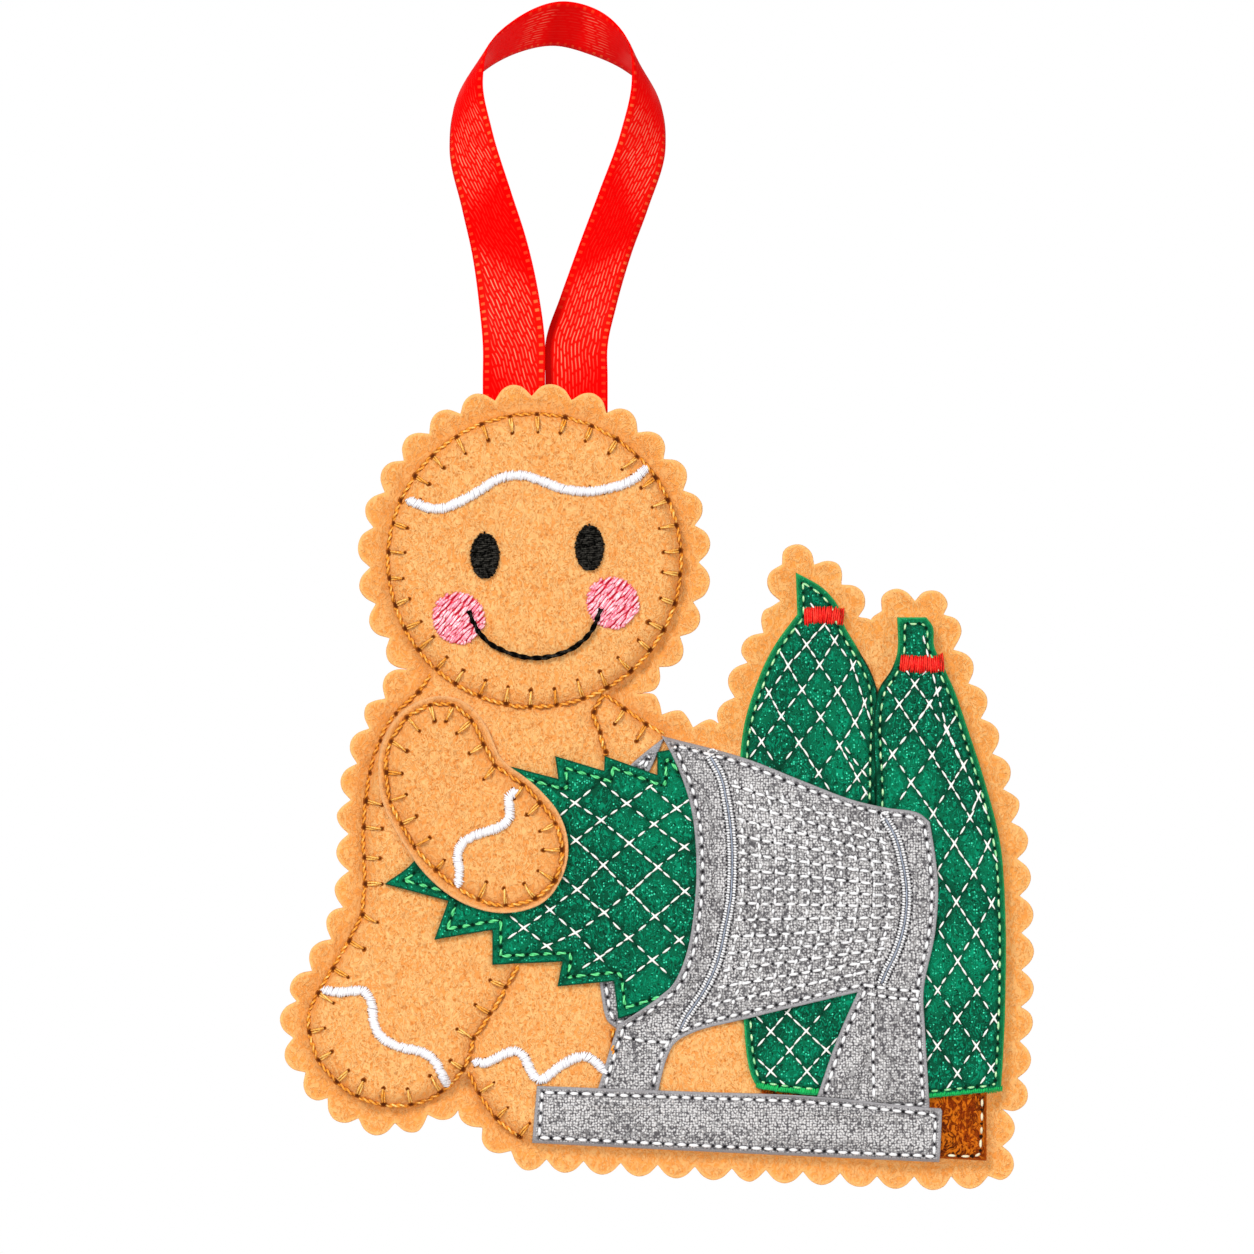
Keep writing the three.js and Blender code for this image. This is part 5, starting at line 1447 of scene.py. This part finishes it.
def edge_sewing(name, cad, seams, surface, hidden):
    """Blanket stitch along the seams, each given as its line, joints, spur, whether it is closed, and seed."""
    rows, holes, ends, ways, twists = [], [], [], [], []
    for path, places, spur, closed, seed in seams:
        runs, spurs, corners, tips, ahead = blanket(path, places, spur, closed, seed)
        runs = runs[~(hidden(runs[:, :2]) & hidden(runs[:, 2:]))]
        holes.append(corners[~hidden(corners)])
        ways.append(ahead[~hidden(corners)])
        clear = ~(hidden(corners) | hidden(tips)) & (spur > 0)
        rows += [runs, spurs[clear]]
        twists += [np.full(len(runs), 2.5), np.full(clear.sum(), 9.0)]
        ends.append(tips[clear])
    piece = threads(name, np.vstack(rows), surface, 0.74, goldThread, ply=2,
                    twist=np.concatenate(twists), stations=15, sink=0.3, rise=0.1, flat=0.85, seed=113, shape=0.62)
    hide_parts(cad)
    pricks(name + "_joints", np.vstack(holes), surface, 0.5, goldPricks, seed=115, along=np.vstack(ways), longer=1.3)
    pricks(name + "_holes", np.vstack(ends), surface, 0.36, goldPricks, seed=116)


spur = 2.75
edge_sewing("head_blanket_stitch", "head_stitching", [(headSeam, joints["head"], spur, True, 120)], onFelt, covered)
edge_sewing("body_blanket_stitch", "body_stitching",
            [(bodySeam, joints["body"], spur, False, 121), (kneeSeam, [(613, 1040)], 0, False, 124),
             (sideSeam, joints["side"], 0, False, 125)], onFelt, covered)
edge_sewing("foot_blanket_stitch", "foot_stitching", [(footSeam, joints["foot"], spur, False, 122)], onFelt, covered)
edge_sewing("shoulder_blanket_stitch", "shoulder_stitching", [(shoulderSeam, joints["shoulder"], spur, False, 123)],
            onFelt, covered)
edge_sewing("arm_blanket_stitch", "arm_stitching", [(armSeam, joints["arm"], spur, True, 126)], onArm, iced)


# ---------------------------------------------------------------------------------------------
# Face and icing: black eyes in rows of fill stitch, pink cheeks in slanting stitches over a deeper
# pink ground, a black cord stitch for the smile, and white satin stitch for the lines of icing.

blackThread = make_thread_finish("black_thread", cloth_colour(0.0, 0.0, 0.0), cloth_colour(0.25, 0.24, 0.22),
                                 middle=cloth_colour(0.02, 0.018, 0.015), Specular_IOR_Level=0.02)
whiteThread = make_thread_finish("icing_thread", cloth_colour(0.80, 0.78, 0.83), cloth_colour(1.0, 1.0, 1.0))
pinkThread = make_thread_finish("pink_thread", cloth_colour(0.86, 0.16, 0.25), cloth_colour(1.0, 0.93, 0.94),
                                middle=cloth_colour(1.0, 0.52, 0.61))


def dome(points, centre, width, height, rise):
    """How far the pile of threads of an oval rises at each point."""
    x, z = (points[:, 0] - centre[0]) / (width / 2), (points[:, 1] - centre[1]) / (height / 2)
    return rise * np.sqrt(np.maximum(1 - x * x - z * z, 0)) ** 0.7


def fill_oval(name, cad, centre, width, height, rise, angle, pitch, stitch, thread, colour, seed, slide=0.05):
    """An oval filled with rows of short overlapping stitches."""
    rng = np.random.default_rng(seed)
    along = np.array([math.cos(angle), math.sin(angle)])
    across = np.array([-along[1], along[0]])
    reach = max(width, height)
    rows = []
    line = np.arange(-reach, reach, 0.1)
    for off in np.arange(-reach / 2, reach / 2, pitch):
        places = centre + across * off + line[:, None] * along
        inside = ((places[:, 0] - centre[0]) / (width / 2)) ** 2 + ((places[:, 1] - centre[1]) / (height / 2)) ** 2 < 1
        if inside.sum() < 2:
            continue
        low, high = line[inside].min(), line[inside].max()
        beat = low - rng.random() * stitch * 0.8
        while beat < high:
            size = stitch * (0.75 + 0.5 * rng.random())
            a, b = max(beat, low + rng.normal(0, 0.06)), min(beat + size, high + rng.normal(0, 0.06))
            if b - a > 0.25:
                slip = rng.normal(0, slide, 2)
                rows.append(np.concatenate([centre + across * (off + slip[0]) + along * a,
                                            centre + across * (off + slip[1]) + along * b]))
            beat += size * 0.92

    def surface(points):
        return onFelt(points) + dome(points, centre, width, height, rise)

    piece = threads(name, rows, surface, thread, colour, seed=seed, sink=0.1)
    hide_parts(cad)
    turn = np.linspace(0, 2 * math.pi, 48, False)
    rim = centre + np.stack([np.cos(turn) * width * 0.47, np.sin(turn) * height * 0.47], 1)
    bed, bed_faces = filled(rim, 0.5, rings=())
    mesh_piece(name + "_ground", np.stack([bed[:, 0], -(surface(bed) - 0.02), bed[:, 1]], 1), bed_faces, colour,
               attributes={"tone": np.full(len(bed), -0.2)})


for side, eye, cheek in (("left", (485, 556), (458.8, 618.3)), ("right", (589.6, 548), (612.8, 603.1))):
    fill_oval(f"eye_{side}_threads", f"eye_{side}", spots([eye])[0], 30 * mmPerStep, 47 * mmPerStep, 0.75, 0.04, 0.3,
              1.5, 0.4, blackThread, 131)
    fill_oval(f"cheek_{side}_threads", f"cheek_{side}", spots([cheek])[0], 53 * mmPerStep, 53 * mmPerStep, 0.35,
              0.85, 0.42, 2.1, 0.52, pinkThread, 133, slide=0.13)

mouthPath = curve_through(spots([(469, 610.7), (479, 633), (501, 650), (536, 658.4), (570, 650), (591, 632),
                                 (601, 608.5)]))
mouthRise = 0.42
mouthStitches = running(mouthPath, 1.9, 2.15, seed=141, jitter=0.0)
mouthThreads = threads("mouth_threads", mouthStitches, lambda p: onFelt(p) + mouthRise, 0.8, blackThread,
                       ply=2, twist=3.9, stations=9, shape=0.97, sink=0.0)
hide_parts("mouth")

for number, (cad, path) in enumerate(icing.items()):
    ground = onArm if cad == "icing_cuff" else onFelt
    line = curve_through(spots(path))
    rows = satin(line, icingWidth, 0.25, 0.09, 0.2, seed=150 + number, rounded=0.7)
    piece = threads(f"{cad}_threads", rows, ground, 0.33, whiteThread, rise=0.45, stations=9,
                    seed=160 + number)
    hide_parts(cad)
    pricks(f"{cad}_holes", np.vstack([rows[7::29, :2], rows[3::13, 2:]]), ground, 0.14, goldPricks,
           seed=170 + number)


# ---------------------------------------------------------------------------------------------
# Studio: pale floor below the hanging ornament, soft lamps, and the camera straight in front.

def make_floor():
    material, tree, surface = finish("pale_floor", 0.9)
    grain = tangle(tree, 4.0)
    white = layered(tree, cloth_colour(0.96, 0.96, 0.96), (grain["Patch"], cloth_colour(0.99, 0.99, 0.99)))
    tree.links.new(white, surface.inputs["Base Color"])
    glow = node(tree, "ShaderNodeEmission", {"Color": (1, 1, 1, 1), "Strength": 1.0})
    seen = node(tree, "ShaderNodeLightPath").outputs["Is Camera Ray"]
    mixed = node(tree, "ShaderNodeMixShader", {0: times(tree, seen, 0.7), 1: surface.outputs[0], 2: glow.outputs[0]})
    tree.links.new(mixed.outputs[0], tree.nodes["Material Output"].inputs["Surface"])
    half, level = 230.0, -215
    points = [(-half, -half, level), (half, -half, level), (half, half, level), (-half, half, level)]
    floor = mesh_piece("floor", points, [(0, 1, 2, 3)], material, body=None)


def make_world():
    world = bpy.data.worlds.new("studio")
    bpy.context.scene.world = world
    world.use_nodes = True
    tree = world.node_tree
    path = node(tree, "ShaderNodeLightPath").outputs
    seen = maths(tree, "MAXIMUM", path["Is Camera Ray"], path["Is Transmission Ray"])
    tree.links.new(layered(tree, (0.42, 0.42, 0.42, 1), (seen, (1, 1, 1, 1))),
                   tree.nodes["Background"].inputs["Color"])


def lamp(name, place, size, power):
    """A square lamp at that place from the ornament's middle, turned to face it."""
    light = bpy.data.lights.new(name, "AREA")
    light.shape, light.size, light.energy = "SQUARE", size, power
    made = bpy.data.objects.new(name, light)
    bpy.context.scene.collection.objects.link(made)
    middle = Vector((0.0114, 0, -0.0965))
    made.location = middle + Vector(place)
    made.rotation_euler = (-Vector(place)).to_track_quat("-Z", "Y").to_euler()


make_floor()
make_world()
lamp("key_lamp", (-0.7, -1.1, 0.9), 0.5, 18.5)
lamp("fill_lamp", (0.9, -1.2, 0.2), 0.8, 8)
camera = bpy.data.objects.new("camera", bpy.data.cameras.new("camera"))
bpy.context.scene.collection.objects.link(camera)
camera.location = (0.01136, -1.5, -0.09648)
camera.rotation_euler = (math.pi / 2, 0, 0)
sensorWidth, cameraToFace, pictureWidth = 36, 1.4965, 0.20064
camera.data.lens = sensorWidth * cameraToFace / pictureWidth
bpy.context.scene.camera = camera
bpy.context.scene.view_settings.view_transform = "Standard"
